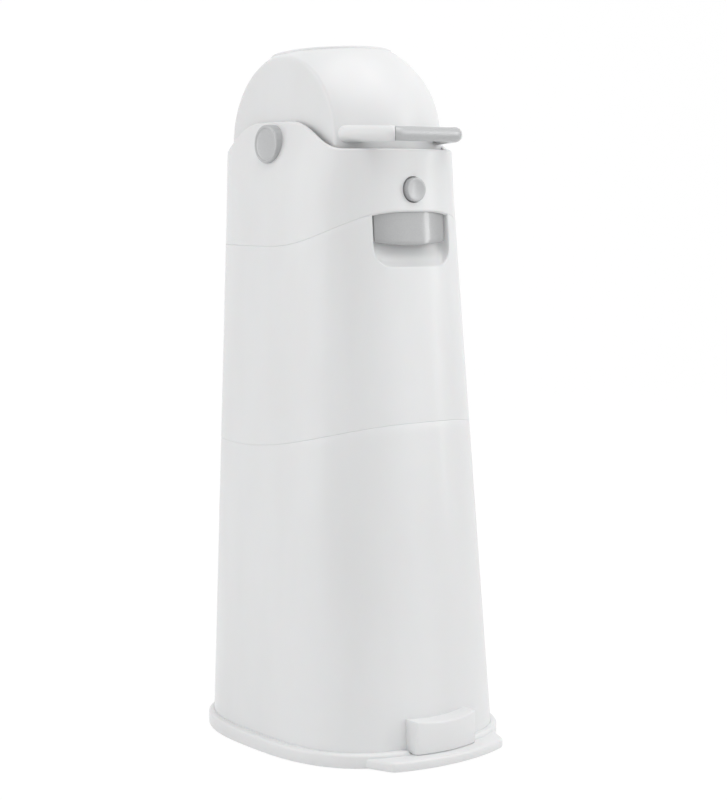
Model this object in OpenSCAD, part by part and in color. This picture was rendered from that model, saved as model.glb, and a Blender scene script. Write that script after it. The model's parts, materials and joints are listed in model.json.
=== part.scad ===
/* [Base] */
// Depth of the base, from the foot plate's front edge to the back of the ring
base_d = 320; // [290:1:350]
// How far the base ring stands out round the bucket
ring_out = 8; // [5:0.5:12]
// Height of the ring's top edge at the back
ring_h_back = 22; // [18:0.5:30]
// Height of the ring's top edge at the front
ring_h_front = 15; // [13.5:0.5:18]
// Top of the base floor, where the bucket stands
base_floor = 8; // [7:0.5:10]
// Thickness of the foot plate
plate_t = 10; // [8:0.5:11]
// Width of the foot plate across its front corners
plate_w = 142; // [110:1:160]
// How far the foot plate's front edge bows out
plate_bow = 13.5; // [6:0.5:18]
// Radius of the foot plate's front corners
plate_corner = 9; // [4:0.5:14]
// Radius of the rubber pads
pad_r = 9; // [6:0.5:11]
// Thickness of the rubber pads
pad_t = 3.5; // [2.5:0.1:4]
// How far the pads stand out under the base
pad_proud = 1; // [0.6:0.1:1.5]

/* [Foot block] */
// Width of the foot block
block_w = 76; // [50:1:90]
// Height of the foot block
block_h = 31.5; // [22:0.5:40]
// Gap between the foot block and the foot plate
block_gap = 2; // [1:0.5:4]
// Depth of the foot block in front of the bucket, at its middle
block_d = 19; // [12:0.5:22]
// How far the foot block's front bows out
block_bow = 6; // [3:0.5:9]
// Dip of the foot block's top
block_dip = 3; // [1:0.5:5]

/* [Body] */
// Width of the bucket's outline at the floor
body_w_low = 243; // [225:1:260]
// Depth of the bucket's outline at the floor
body_d_low = 281.5; // [265:1:290]
// Width of the outline at the pivot's height, before the ears lean in
body_w_high = 177.4; // [170:0.5:186]
// Depth of the outline at the pivot's height
body_d_high = 237; // [230:0.5:244]
// Squareness of the outline: 2 is an ellipse, more is squarer
body_square = 3; // [2.6:0.1:3.6]
// Wall of the moulded shells
wall = 2.5; // [2:0.1:3]
// Play between two shells that fit in each other
fit = 0.2; // [0.15:0.05:0.4]

/* [Seams] */
// Lowest height of the seam between bucket and middle shell
seam_low_z = 302; // [260:1:330]
// How far that seam rises at the front
seam_low_rise = 29.4; // [10:0.5:40]
// Lowest height of the seam between middle shell and head
seam_high_z = 502; // [496:0.5:505]
// How far that seam rises at the front
seam_high_rise = 35.8; // [33:0.5:38]
// Gap between the middle shell and the head
seam_gap = 0.5; // [0.4:0.1:1]
// Height of the skirt inside the lower seam
skirt_h = 14; // [8:1:20]

/* [Head] */
// Height of the drum's pivot above the floor
pivot_z = 603; // [601:0.5:608]
// Height of the ears' tops above the pivot
ear_rise = 22; // [20:0.5:26]
// Drop of the head's front and back rims below the pivot
rim_drop = 5.5; // [4:0.5:8]
// How far the ears' tops lean in
ear_lean = 10.5; // [9:0.5:11.5]
// Height over which the ears lean in
lean_h = 72; // [60:1:80]
// Extra squareness of the outline at the ears' tops
ear_square = 1.1; // [0.6:0.1:1.4]
// Half width of the ears' flat tops
ear_flat = 25; // [15:1:30]
// Half width of the ears at their feet
ear_foot = 100; // [90:1:106]

/* [Drum] */
// Radius of the drum's band
drum_r = 101.3; // [98:0.1:103]
// How far the drum's sides dome out at the hubs
drum_dome = 11; // [6:0.5:12]
// Radius of the drum's edges
drum_edge = 12; // [8:0.5:14]
// Tilt of the drum at rest, to the back
drum_tilt = 4.5; // [3:0.5:6]
// Height of the mouth above the pivot, along the tube
mouth_h = 92.8; // [91.5:0.1:95]
// Outer radius of the mouth rings
mouth_r = 61.4; // [60:0.1:62.5]
// Height of the mouth rings
mouth_ring_h = 4.3; // [3.5:0.1:6]
// Inner radius of the tube
tube_r = 57; // [54:0.1:57.4]
// Wall of the tube
tube_wall = 2.5; // [2:0.1:3]
// Least gap between moving bodies
run_gap = 1; // [0.8:0.1:1.5]
// Radius of the pivot pins
pin_r = 8; // [6:0.1:9]
// Radial clearance of pins in their bores
pin_play = 0.05; // [0.03:0.01:0.09]
// Radius of the pivot caps
cap_r = 19; // [17:0.1:20]
// How far the caps stand out of the ears
cap_proud = 7.5; // [6:0.5:10]

/* [Piston] */
// Height of the piston
piston_h = 34; // [28:0.5:44]
// Gap between the piston's seals and the tube
seal_gap = 0.3; // [0.3:0.05:0.5]
// Radius of the steel weight in the piston
weight_r = 42; // [30:1:46]
// Thickness of the steel weight
weight_t = 8; // [4:0.5:10]

/* [Handle] */
// Distance from the pivot to the handle's centre line
handle_reach = 143.5; // [140:0.5:148]
// Height of the handle's centre line above the drum's middle
handle_rise = 1.2; // [0:0.1:3]
// Half length of the grey grip
grip_half = 35; // [31:0.5:38]
// Radius of the grip
grip_r = 7; // [6.5:0.1:7.6]
// Radius of the bar inside the grip
bar_r = 4.8; // [4:0.1:5.4]
// Radius of the handle's arms beside the grip
arm_r = 7.5; // [7:0.1:7.8]
// Radius of the arms at the drum
root_r = 8.8; // [8:0.1:9]
// Bend radius of the arms
arm_bend = 8; // [7.8:0.1:10]
// Turn of each arm from the grip's line
arm_turn = 68; // [64:1:70]

/* [Latch] */
// Height of the button's centre above the front of the upper seam
button_up = 20.3; // [19.5:0.1:21]
// Radius of the button
button_r = 11.8; // [10:0.1:12]
// Radius of the hole round the button
button_hole_r = 13; // [12.7:0.1:13.6]
// How far the button stands out
button_proud = 5.5; // [4.5:0.1:7]
// Travel of the button
button_travel = 3.5; // [3:0.1:3.6]
// Width of the recess
recess_w = 91; // [84:1:96]
// Depth of the recess below the front of the upper seam
recess_h = 53.4; // [48:0.2:58]
// Radius of the recess's lower corners
recess_corner = 18; // [12:0.5:24]
// Depth of the recess
recess_d = 13.5; // [13:0.1:14]
// Height of the grip plate that shows under the head
grip_show = 34; // [28:0.5:38]
// How far the grip plate lies behind the outside
grip_inset = 4; // [3.5:0.1:4.5]

/* [Hinge] */
// Radius of the hinge knuckles
knuckle_r = 6; // [5:0.1:6.4]
// Radius of the hinge pin
hinge_pin_r = 2.5; // [2:0.1:3]
// Length of one knuckle
knuckle_l = 18; // [14:0.5:24]
// Height of the hinge's leaves
leaf_h = 20; // [16:0.5:26]

/* [Hidden] */

// Points round the body's outline, and round a turned piece
body_sides = 56;
$fn = 64;
// A little more than enough, for cuts that run right through
over = 1;
// A length beyond every piece, and one beyond every wall
far = 800;
long = 100;

// The outline's back is one upright plane, and its front and sides taper
rear_y = base_d / 2 - ring_out;
front_edge_y = -base_d / 2;
ear_top_z = pivot_z + ear_rise;
rim_z = pivot_z - rim_drop;
lean_z = ear_top_z - lean_h;
function lean(z) = max(0, (z - lean_z) / lean_h);
function half_w(z) = (body_w_low + (body_w_high - body_w_low) * z / pivot_z) / 2 - ear_lean * lean(z);
function half_d(z) = (body_d_low + (body_d_high - body_d_low) * z / pivot_z) / 2;
function mid_y(z) = rear_y - half_d(z);
function front_y(z) = rear_y - 2 * half_d(z);
function square_at(z) = body_square + ear_square * lean(z);

// The seams and the head's rim, as heights along the depth
seam_low_y = 61;
seam_high_y = 29;
low_power = 1.8;
high_power = 2.3;
function rise_at(y, from_y, to_y) = max(0, (from_y - y) / (from_y - to_y));
low_front_y = front_y(seam_low_z + seam_low_rise);
high_front_y = front_y(seam_high_z + seam_high_rise);
function seam_low(y) = seam_low_z + seam_low_rise * pow(rise_at(y, seam_low_y, low_front_y), low_power);
function seam_high(y) = seam_high_z + seam_high_rise * pow(rise_at(y, seam_high_y, high_front_y), high_power);
seam_front_z = seam_high_z + seam_high_rise;

// The drum turns clear of the head's back wall
sweep_r = sqrt(pow(mouth_h, 2) + pow(mouth_r, 2));
back_gap = 2.2;
pivot_y = rear_y - wall - sweep_r - back_gap;
hub_x = half_w(ear_top_z) - wall - run_gap;
drum_half = hub_x - drum_dome;
boss_x = hub_x + run_gap;
boss_r = 22;
seat_x = boss_x + 3;
cap_x = half_w(pivot_z) + cap_proud;
drum_wall = 2.5;
mouth_plane = mouth_h - mouth_ring_h;
tube_out = tube_r + tube_wall;
tube_hole = tube_out + fit / 2;

// The cradle hugs the drum from below
cradle_r = sweep_r + run_gap;
cradle_wall = 2;
cradle_half = boss_x;
deck_drop = 9.5;
deck_z = rim_z - deck_drop;
deck_t = 2;
cradle_low = pivot_z - cradle_r - 2 * cradle_wall;
cradle_heights = [cradle_low, lean_z, lean_z + lean_h / 3, lean_z + lean_h * 2 / 3, pivot_z];
throat_r = mouth_r + 2.6;
throat_wall = 2.5;
throat_low = cradle_r + cradle_wall + 2;
throat_top = mouth_h + 2;

// The latch
button_z = seam_front_z + button_up;
button_y = front_y(button_z);
button_face_y = button_y - button_proud;
guide_front_y = button_y + wall;
flange_t = 1.5;
flange_r = button_r + 1;
guide_lip = 1.5;
guide_back = 2;
spring_room = 3;
slide_gap = run_gap / 3;
guide_out = flange_r + slide_gap + 1;
guide_l = guide_lip + flange_t + button_travel + spring_room + guide_back;
guide_back_y = guide_front_y + guide_l;
stem_r = 4;
stem_proud = 0.6;
tongue_y = guide_back_y + stem_proud + fit;
tongue_t = 2;
tongue_w = 22;
tongue_play = 0.6;
root_low = button_z + stem_r + over;
root_high = root_low + 3;
recess_y = front_y(seam_front_z) + recess_d;
recess_wall = 2;
keeper_y = recess_y + recess_wall;
keeper_z = seam_front_z - 13;
keeper_t = 7;
keeper_d = 3.2;
keeper_plate_t = 1.2;
keeper_plate_h = 12;
hook_y = keeper_y + keeper_d + tongue_play;
hook_bite = 1.8;

// The hinge
hinge_y = rear_y + 1.5;
hinge_z = seam_high_z + 2;
knuckle_gap = 0.4;
knuckles = 5;
hinge_half = knuckles * knuckle_l / 2;
leaf_t = 2.5;
leaf_off = knuckle_r + 0.5;
leaf_deep = 8;
leaf_screw_l = 9;

// Screws
screw_r = 1.5;
screw_head_r = 3.2;
screw_head_h = 2;

// Places of the pads, screws and ribs
pads = [[-80, -80], [80, -80], [-80, 105], [80, 105], [-48, front_edge_y + 24], [48, front_edge_y + 24]];
base_screw_spots = [[-62, -50], [62, -50], [-62, 90], [62, 90]];
rib_pitch = 46;
rib_t = 3;
pocket_top = base_floor - 2.5;

// The bag collar, under the recess
collar_z = seam_front_z - recess_h - 23;
collar_t = 2.5;
collar_lip = 14;
collar_drop = 18;
collar_w = 21;
ledge_w = 9.6;

function powered(v, e) = sign(v) * pow(abs(v), e);
function outline(z, inset) = [
    for (i = [0 : body_sides - 1])
        let (t = 360 * i / body_sides, e = 2 / square_at(z))
            [(half_w(z) - inset) * powered(cos(t), e), mid_y(z) + (half_d(z) - inset) * powered(sin(t), e), z]
];

// A solid with the body's outline through the given heights
module loft(heights, inset) {
    n = body_sides;
    last = len(heights) - 1;
    points = [for (z = heights) each outline(z, inset)];
    low_face = [for (i = [0 : n - 1]) i];
    high_face = [for (i = [n - 1 : -1 : 0]) last * n + i];
    sides = [
        for (k = [0 : last - 1], i = [0 : n - 1])
            let (a = k * n + i, b = k * n + (i + 1) % n)
                each [[a, a + n, b + n], [a, b + n, b]]
    ];
    polyhedron(points, concat([low_face, high_face], sides), convexity = 6);
}

// A wall between two insets of the outline
module loft_wall(heights, outer, inner) {
    last = len(heights) - 1;
    through = [for (k = [0 : last]) heights[k] + (k == 0 ? -over : k == last ? over : 0)];
    difference() {
        loft(heights, outer);
        loft(through, inner);
    }
}

// The space under a curve of heights along the depth
module under(curve, shift = 0) {
    steps = 36;
    from_y = -base_d / 2 - over;
    to_y = base_d / 2 + over;
    edge = [for (i = [0 : steps]) let (y = from_y + (to_y - from_y) * i / steps) [y, curve(y) + shift]];
    rotate([90, 0, 90])
        linear_extrude(far, center = true)
            polygon(concat([[to_y, -over], [from_y, -over]], edge));
}

// The rim: low at the front and back, with a smooth flank up to each ear
function flank(t) = [
    pow(1 - t, 3) * ear_flat + 3 * pow(1 - t, 2) * t * ear_flat * 2.4
        + 3 * (1 - t) * t * t * ear_foot * 0.75 + pow(t, 3) * ear_foot,
    ear_top_z - (ear_top_z - rim_z) * (3 * t * t - 2 * t * t * t)
];
module under_rim() {
    steps = 10;
    front = [for (i = [steps : -1 : 0]) [pivot_y - flank(i / steps)[0], flank(i / steps)[1]]];
    back = [for (i = [0 : steps]) [pivot_y + flank(i / steps)[0], flank(i / steps)[1]]];
    rotate([90, 0, 90])
        linear_extrude(far, center = true)
            polygon(concat([[far / 2, -over], [-far / 2, -over], [-far / 2, rim_z]], front,
                back, [[far / 2, rim_z]]));
}

// Placing helpers
module mirrored() {
    children();
    mirror([1, 0, 0]) children();
}
module at_drum() {
    translate([0, pivot_y, pivot_z]) rotate([-drum_tilt, 0, 0]) children();
}
module along_x() {
    rotate([0, 90, 0]) children();
}
module along_y() {
    rotate([-90, 0, 0]) children();
}
module tube(r_out, r_in, h) {
    difference() {
        cylinder(r = r_out, h = h);
        translate([0, 0, -over]) cylinder(r = r_in, h = h + 2 * over);
    }
}
module box_at(low, high) {
    translate(low) cube(high - low);
}
// A pan-head screw whose head rests on z = 0 and whose shank runs down
module screw(length) {
    rotate_extrude()
        polygon([[0, screw_head_h], [screw_head_r * 0.6, screw_head_h], [screw_head_r, screw_head_h * 0.5],
            [screw_head_r, 0], [screw_r, 0], [screw_r, -length + screw_r], [0, -length]]);
}

// Base
function ring_top(y) = ring_h_front + (ring_h_back - ring_h_front) * (y + base_d / 2) / base_d;
plate_r = (pow(plate_w / 2, 2) + pow(plate_bow, 2)) / (2 * plate_bow);
plate_l = 70;
plate_flare = 24;
module plate_outline() {
    back_y = front_edge_y + plate_l;
    offset(r = plate_corner)
        offset(delta = -plate_corner)
            intersection() {
                translate([0, front_edge_y + plate_r]) circle(plate_r, $fn = 180);
                polygon([[-plate_w / 2, front_edge_y], [plate_w / 2, front_edge_y],
                    [plate_w / 2 + plate_flare, back_y], [-plate_w / 2 - plate_flare, back_y]]);
            }
}
module rib_pockets() {
    reach = 3;
    difference() {
        intersection() {
            loft([-over, pocket_top], 5);
            for (i = [-reach : reach], j = [-reach : reach])
                translate([i * rib_pitch, j * rib_pitch, pocket_top / 2 - over])
                    cube([rib_pitch - rib_t, rib_pitch - rib_t, pocket_top + 2 * over], center = true);
        }
        for (p = pads) translate([p[0], p[1], -over]) cylinder(r = pad_r + 3, h = far);
        for (p = base_screw_spots) translate([p[0], p[1], -over]) cylinder(r = screw_head_r + 3, h = far);
    }
}
module base_plate() {
    color("white")
        difference() {
            union() {
                intersection() {
                    loft([pad_proud, ring_h_back + over], -ring_out);
                    under(function (y) ring_top(y));
                }
                translate([0, 0, pad_proud]) linear_extrude(plate_t) plate_outline();
            }
            loft([base_floor, ring_h_back + 2 * over], -fit);
            rib_pockets();
            for (p = pads) translate([p[0], p[1], -over]) cylinder(r = pad_r + fit, h = pad_t + over);
            for (p = base_screw_spots)
                translate([p[0], p[1], -over]) {
                    cylinder(r = screw_head_r + fit, h = pad_proud + screw_head_h + 2 * over);
                    cylinder(r = screw_r + fit, h = long);
                }
            block_notch();
        }
}
module foot_pads() {
    color("dimgray")
        for (p = pads) translate([p[0], p[1], 0]) cylinder(r = pad_r, h = pad_t);
}
// The ring's top is cut away behind the foot block
module block_notch() {
    play = 0.5;
    box_at([-block_w / 2 - play, -far, pad_proud + plate_t], [block_w / 2 + play, mid_y(0) - block_w, far]);
}
base_screw_z = pad_proud + screw_head_h + over;
base_screw_l = 12;
boss_h = 12;
module base_screws() {
    color("silver")
        for (p = base_screw_spots)
            translate([p[0], p[1], base_screw_z]) mirror([0, 0, 1]) screw(base_screw_l);
}

// Foot block
block_low = pad_proud + plate_t + block_gap;
block_top = block_low + block_h;
block_y = front_y(block_low) - block_d;
block_screw_x = 20;
block_screw_z = block_low + block_h / 2;
module foot_block() {
    bow_r = (pow(block_w / 2, 2) + pow(block_bow, 2)) / (2 * block_bow);
    dip_r = (pow(block_w / 2, 2) + pow(block_dip, 2)) / (2 * block_dip);
    color("white")
        difference() {
            intersection() {
                translate([0, block_y + bow_r, block_low]) cylinder(r = bow_r, h = block_h, $fn = 240);
                box_at([-block_w / 2, block_y, 0], [block_w / 2, block_y + 3 * block_d, far]);
            }
            loft([base_floor, bucket_top], 0);
            translate([0, block_y - over, block_top - block_dip + dip_r])
                along_y() cylinder(r = dip_r, h = 4 * block_d, $fn = 240);
            block_screw_holes(screw_r);
        }
}
module block_screw_holes(r) {
    depth = 10;
    for (s = [-1, 1])
        translate([s * block_screw_x, front_y(block_screw_z) + 3 * wall, block_screw_z])
            rotate([90, 0, 0]) cylinder(r = r, h = 3 * wall + depth);
}
module foot_block_screws() {
    seat_y = front_y(block_screw_z) + wall + 0.6;
    length = 11;
    color("silver")
        for (s = [-1, 1])
            translate([s * block_screw_x, seat_y, block_screw_z]) along_y() screw(length);
}

// Bucket
bucket_top = seam_low_z + seam_low_rise + over;
module bucket() {
    color("white")
        difference() {
            union() {
                difference() {
                    intersection() {
                        loft([base_floor, bucket_top], 0);
                        under(function (y) seam_low(y));
                    }
                    loft([base_floor + wall, bucket_top + over], wall);
                }
                for (p = base_screw_spots)
                    translate([p[0], p[1], base_floor]) cylinder(r = 2 * screw_r + 2, h = boss_h);
            }
            for (p = base_screw_spots)
                translate([p[0], p[1], base_floor - over]) cylinder(r = screw_r, h = boss_h - over);
            block_screw_holes(screw_r + fit);
        }
}

// Middle shell
middle_low = seam_low_z - skirt_h;
middle_high = seam_front_z + over;
bead_h = 6;
band_h = 8;
module recess_shape(grow) {
    w = recess_w / 2 + grow;
    r = recess_corner + grow;
    low = seam_front_z - recess_h - grow;
    translate([0, recess_y + grow, 0])
        rotate([90, 0, 0])
            linear_extrude(2 * long)
                union() {
                    translate([-w, low + r]) square([2 * w, recess_h + 2 * grow]);
                    translate([-w + r, low]) square([2 * (w - r), 2 * r]);
                    for (s = [-1, 1]) translate([s * (w - r), low + r]) circle(r);
                }
}
// The recess's floor curves out to the lower edge
module recess_floor() {
    scoop = 4;
    r = recess_d + scoop;
    low = seam_front_z - recess_h;
    back = recess_y;
    rotate([90, 0, 90])
        linear_extrude(far, center = true)
            difference() {
                translate([back - r, low - over]) square([r + over, r + over]);
                translate([back - r, low + r]) circle(r);
                translate([back - far, low + r]) square([far, far]);
            }
}
module middle_shell() {
    color("white")
        difference() {
            union() {
                intersection() {
                    union() {
                        loft_wall([seam_low_z - over, middle_high], 0, wall);
                        intersection() {
                            loft_wall([seam_low_z - over, middle_high], wall / 2, 2 * wall);
                            difference() {
                                under(function (y) seam_high(y));
                                under(function (y) seam_high(y), -bead_h);
                            }
                        }
                        loft_wall([collar_z, collar_z + collar_t], wall / 2, ledge_w);
                        intersection() {
                            loft([seam_low_z, middle_high], wall / 2);
                            recess_shape(recess_wall);
                        }
                    }
                    difference() {
                        under(function (y) seam_high(y));
                        under(function (y) seam_low(y));
                    }
                }
                intersection() {
                    loft_wall([middle_low, bucket_top + band_h], wall + fit, 2 * wall + fit);
                    difference() {
                        under(function (y) seam_low(y), band_h);
                        under(function (y) seam_low(y), -skirt_h);
                    }
                }
                intersection() {
                    loft_wall([middle_low, bucket_top + band_h], wall / 2, 2 * wall);
                    difference() {
                        under(function (y) seam_low(y), band_h);
                        under(function (y) seam_low(y));
                    }
                }
            }
            difference() {
                recess_shape(0);
                recess_floor();
            }
            hinge_cut();
            leaf_screw_holes(-1, screw_r);
            keeper_screw_holes();
            collar_screw_holes(screw_r);
        }
}

// Bag collar
collar_screw_spots = [[-1, 0.35], [1, 0.35], [-1, -0.35], [1, -0.35]];
collar_screw_in = (wall + ledge_w) / 2;
function narrowed(part) = pow(1 - pow(abs(part), body_square), 1 / body_square);
function collar_screw_at(s) = [
    s[0] * (half_w(collar_z) * narrowed(s[1]) - collar_screw_in),
    mid_y(collar_z) + s[1] * half_d(collar_z)
];
module collar_screw_holes(r) {
    for (s = collar_screw_spots)
        translate([collar_screw_at(s)[0], collar_screw_at(s)[1], collar_z - 2 * collar_t])
            cylinder(r = r, h = 4 * collar_t);
}
module bag_collar() {
    color("gainsboro")
        difference() {
            union() {
                loft([collar_z - collar_t, collar_z], wall + fit);
                loft([collar_z - collar_drop, collar_z + collar_lip], collar_w - collar_t);
                loft([collar_z + collar_lip - collar_t, collar_z + collar_lip], collar_w - 2 * collar_t);
            }
            loft([collar_z - collar_drop - over, collar_z + collar_lip + over], collar_w);
            collar_screw_holes(screw_r + fit);
        }
}
module collar_screws() {
    color("silver")
        for (s = collar_screw_spots)
            translate([collar_screw_at(s)[0], collar_screw_at(s)[1], collar_z - collar_t])
                mirror([0, 0, 1]) screw(2 * collar_t);
}

// Latch keeper
keeper_w = 38;
keeper_screw_x = 15.2;
module latch_keeper() {
    color("silver")
        difference() {
            union() {
                box_at([-keeper_w / 2, keeper_y, keeper_z - keeper_t - keeper_plate_h],
                    [keeper_w / 2, keeper_y + keeper_plate_t, keeper_z]);
                box_at([-keeper_w / 2, keeper_y, keeper_z - keeper_t],
                    [keeper_w / 2, keeper_y + keeper_d, keeper_z]);
            }
            keeper_screw_holes();
        }
}
keeper_screw_z = keeper_z - keeper_t - keeper_plate_h / 2;
module keeper_screw_holes() {
    for (s = [-1, 1])
        translate([s * keeper_screw_x, recess_y + fit, keeper_screw_z])
            along_y() cylinder(r = screw_r, h = 4 * recess_wall);
}
module keeper_screws() {
    color("silver")
        for (s = [-1, 1])
            translate([s * keeper_screw_x, keeper_y + keeper_plate_t, keeper_screw_z]) along_y() screw(2.4);
}

// Rear hinge
module hinge_cut() {
    translate([-hinge_half - knuckle_gap, hinge_y, hinge_z])
        along_x() cylinder(r = knuckle_r + 0.5, h = 2 * (hinge_half + knuckle_gap));
}
function knuckle_x(k) = -hinge_half + k * knuckle_l + knuckle_gap / 2;
module knuckle_at(k) {
    translate([knuckle_x(k), hinge_y, hinge_z])
        along_x() cylinder(r = knuckle_r, h = knuckle_l - knuckle_gap);
}
// A leaf lies on the back wall; side is 1 above the hinge and -1 below it
module leaf(side, picks) {
    far_z = hinge_z + side * (leaf_off + leaf_h);
    front = rear_y - leaf_deep;
    back = rear_y + leaf_t;
    difference() {
        union() {
            for (k = picks) knuckle_at(k);
            difference() {
                union() {
                    for (k = picks)
                        translate([knuckle_x(k), back - knuckle_r, min(hinge_z, far_z)])
                            cube([knuckle_l - knuckle_gap, knuckle_r, abs(far_z - hinge_z)]);
                    translate([-hinge_half, front, side > 0 ? hinge_z + leaf_off : far_z])
                        cube([2 * hinge_half, back - front, leaf_h]);
                }
                loft(side > 0 ? head_heights : [seam_low_z - over, middle_high], 0);
            }
        }
        translate([-hinge_half - over, hinge_y, hinge_z])
            along_x() cylinder(r = hinge_pin_r + pin_play, h = 2 * (hinge_half + over));
        leaf_screw_holes(side, screw_r + fit);
    }
}
leaf_screw_x = [-0.7, 0, 0.7];
function leaf_screw_z(side) = hinge_z + side * (leaf_off + leaf_h / 2);
module leaf_screw_holes(side, r) {
    for (f = leaf_screw_x)
        translate([f * hinge_half, rear_y + leaf_t + over, leaf_screw_z(side)])
            rotate([90, 0, 0]) cylinder(r = r, h = leaf_screw_l + leaf_t);
}
module leaf_screw_set(side) {
    color("silver")
        for (f = leaf_screw_x)
            translate([f * hinge_half, rear_y + leaf_t, leaf_screw_z(side)]) along_y() screw(leaf_screw_l);
}
module hinge_bracket() {
    color("white") leaf(-1, [0, 2, 4]);
}
module bracket_screws() {
    leaf_screw_set(-1);
}
module hinge_leaf() {
    color("white") leaf(1, [1, 3]);
}
module leaf_screws() {
    leaf_screw_set(1);
}
module hinge_pin() {
    color("silver")
        translate([-hinge_half, hinge_y, hinge_z]) along_x() cylinder(r = hinge_pin_r, h = 2 * hinge_half);
}

// Head
head_low = seam_high_z - 2;
head_heights = [head_low, lean_z, lean_z + lean_h / 3, lean_z + lean_h * 2 / 3, ear_top_z + over];
module above_seam(shift) {
    difference() {
        children();
        under(function (y) seam_high(y), shift);
    }
}
module head_shell() {
    color("white")
        difference() {
            union() {
                above_seam(seam_gap)
                    intersection() {
                        loft_wall(head_heights, 0, wall);
                        under_rim();
                    }
                intersection() {
                    mirrored() translate([boss_x, pivot_y, pivot_z]) along_x() cylinder(r = boss_r, h = long);
                    loft(head_heights, wall / 2);
                }
            }
            mirrored()
                translate([0, pivot_y, pivot_z])
                    along_x() {
                        translate([0, 0, seat_x]) cylinder(r = cap_r + fit, h = far);
                        cylinder(r = pin_r + pin_play, h = far);
                    }
            at_button(button_y - long) cylinder(r = button_hole_r, h = long + 3 * wall);
            hinge_cut();
            leaf_screw_holes(1, screw_r);
            grip_screw_holes(screw_r);
        }
}
module head_gasket() {
    color("dimgray")
        difference() {
            above_seam(seam_gap)
                intersection() {
                    loft_wall(head_heights, wall, 2 * wall);
                    under(function (y) seam_high(y), bead_h);
                }
            box_at([-recess_w / 2 - 2, -far / 2, 0], [recess_w / 2 + 2, 0, far]);
            hinge_cut();
            leaf_screw_holes(1, screw_r + 1);
        }
}

// The cradle: a deck inside the head, a trough under the drum and a throat under the tube
module cradle_trough(r) {
    intersection() {
        translate([-cradle_half - cradle_wall, pivot_y, pivot_z])
            along_x() cylinder(r = r, h = 2 * (cradle_half + cradle_wall), $fn = 120);
        box_at([-far, -far, 0], [far, far, deck_z + deck_t / 2]);
    }
}
// A window in the trough's front lets the pressed catch move back
module latch_window() {
    play = 1;
    deep = 16;
    box_at([-tongue_w / 2 - play, -far, button_z - 2 * stem_r],
        [tongue_w / 2 + play, guide_back_y + deep, root_high + play / 2]);
}
module drum_cradle() {
    color("whitesmoke")
        difference() {
            union() {
                intersection() {
                    loft(cradle_heights, wall);
                    union() {
                        box_at([-far, -far, deck_z], [far, far, deck_z + deck_t]);
                        cradle_trough(cradle_r + cradle_wall);
                    }
                }
                at_drum()
                    translate([0, 0, -throat_low])
                        cylinder(r = throat_r + throat_wall, h = throat_low - throat_top);
            }
            translate([-cradle_half, pivot_y, pivot_z])
                along_x() cylinder(r = cradle_r, h = 2 * cradle_half, $fn = 120);
            mirrored()
                translate([cradle_half - over, pivot_y, pivot_z])
                    along_x() cylinder(r = boss_r + 2, h = long);
            at_drum() translate([0, 0, -throat_low - over]) cylinder(r = throat_r, h = throat_low);
            latch_window();
        }
}
module throat_lip() {
    lip_t = 3;
    color("dimgray")
        at_drum() translate([0, 0, -throat_low - lip_t]) tube(throat_r + throat_wall, tube_r + over, lip_t);
}

// The grey plate under the head that the fingers lift
grip_low = seam_front_z - grip_show;
grip_high = seam_front_z + bead_h;
grip_w = recess_w - 3;
grip_arc = 3.6;
module lift_grip() {
    arc_r = (pow(grip_w / 2, 2) + pow(grip_arc, 2)) / (2 * grip_arc);
    color("silver")
        difference() {
            intersection() {
                union() {
                    intersection() {
                        loft_wall(head_heights, grip_inset, grip_inset + wall);
                        box_at([-far, -far, grip_low - over], [far, far, grip_high]);
                    }
                    intersection() {
                        loft_wall(head_heights, wall, grip_inset + wall);
                        difference() {
                            box_at([-far, -far, 0], [far, 0, grip_high]);
                            under(function (y) seam_high(y), seam_gap);
                        }
                    }
                }
                box_at([-grip_w / 2, -far, 0], [grip_w / 2, 0, far]);
                translate([0, 0, grip_low + arc_r])
                    rotate([90, 0, 0]) cylinder(r = arc_r, h = far, $fn = 240);
            }
            grip_screw_holes(screw_r + fit / 2);
        }
}
grip_screw_z = seam_front_z + 3.4;
grip_screw_x = 24;
grip_screw_l = 5.5;
function grip_back_y(x, z) =
    let (inset = grip_inset + wall)
        mid_y(z) - (half_d(z) - inset) * narrowed(x / (half_w(z) - inset));
module grip_screw_holes(r) {
    for (s = [-1, 1])
        translate([s * grip_screw_x, front_y(grip_screw_z) + wall / 2, grip_screw_z])
            along_y() cylinder(r = r, h = 4 * wall);
}
module grip_screws() {
    seat_y = grip_back_y(grip_screw_x + screw_head_r, grip_screw_z) + 2 * fit;
    color("silver")
        for (s = [-1, 1])
            translate([s * grip_screw_x, seat_y, grip_screw_z]) along_y() screw(grip_screw_l);
}

// Pivots
pin_low = tube_out + 2;
pin_flange_r = 15;
module pivot_pin(side) {
    color("silver")
        translate([0, pivot_y, pivot_z])
            mirror([side < 0 ? 1 : 0, 0, 0])
                along_x() {
                    translate([0, 0, pin_low]) cylinder(r = pin_r, h = seat_x - pin_low + wall);
                    translate([0, 0, seat_x]) cylinder(r = pin_flange_r, h = wall);
                }
}
module pivot_pin_left() {
    pivot_pin(-1);
}
module pivot_pin_right() {
    pivot_pin(1);
}
module pivot_cap(side) {
    cap_l = cap_x - seat_x;
    edge = 1.5;
    dish = 1;
    color("silver")
        translate([0, pivot_y, pivot_z])
            mirror([side < 0 ? 1 : 0, 0, 0])
                along_x()
                    translate([0, 0, seat_x])
                        rotate_extrude()
                            polygon([[0, wall], [pin_flange_r + fit, wall], [pin_flange_r + fit, 0],
                                [cap_r, 0], [cap_r, cap_l - edge],
                                [cap_r - edge * 0.3, cap_l - edge * 0.3], [cap_r - edge, cap_l],
                                [cap_r - 2 * edge, cap_l], [cap_r - 2.6 * edge, cap_l - dish],
                                [0, cap_l - dish]]);
}
module pivot_cap_left() {
    pivot_cap(-1);
}
module pivot_cap_right() {
    pivot_cap(1);
}

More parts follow.
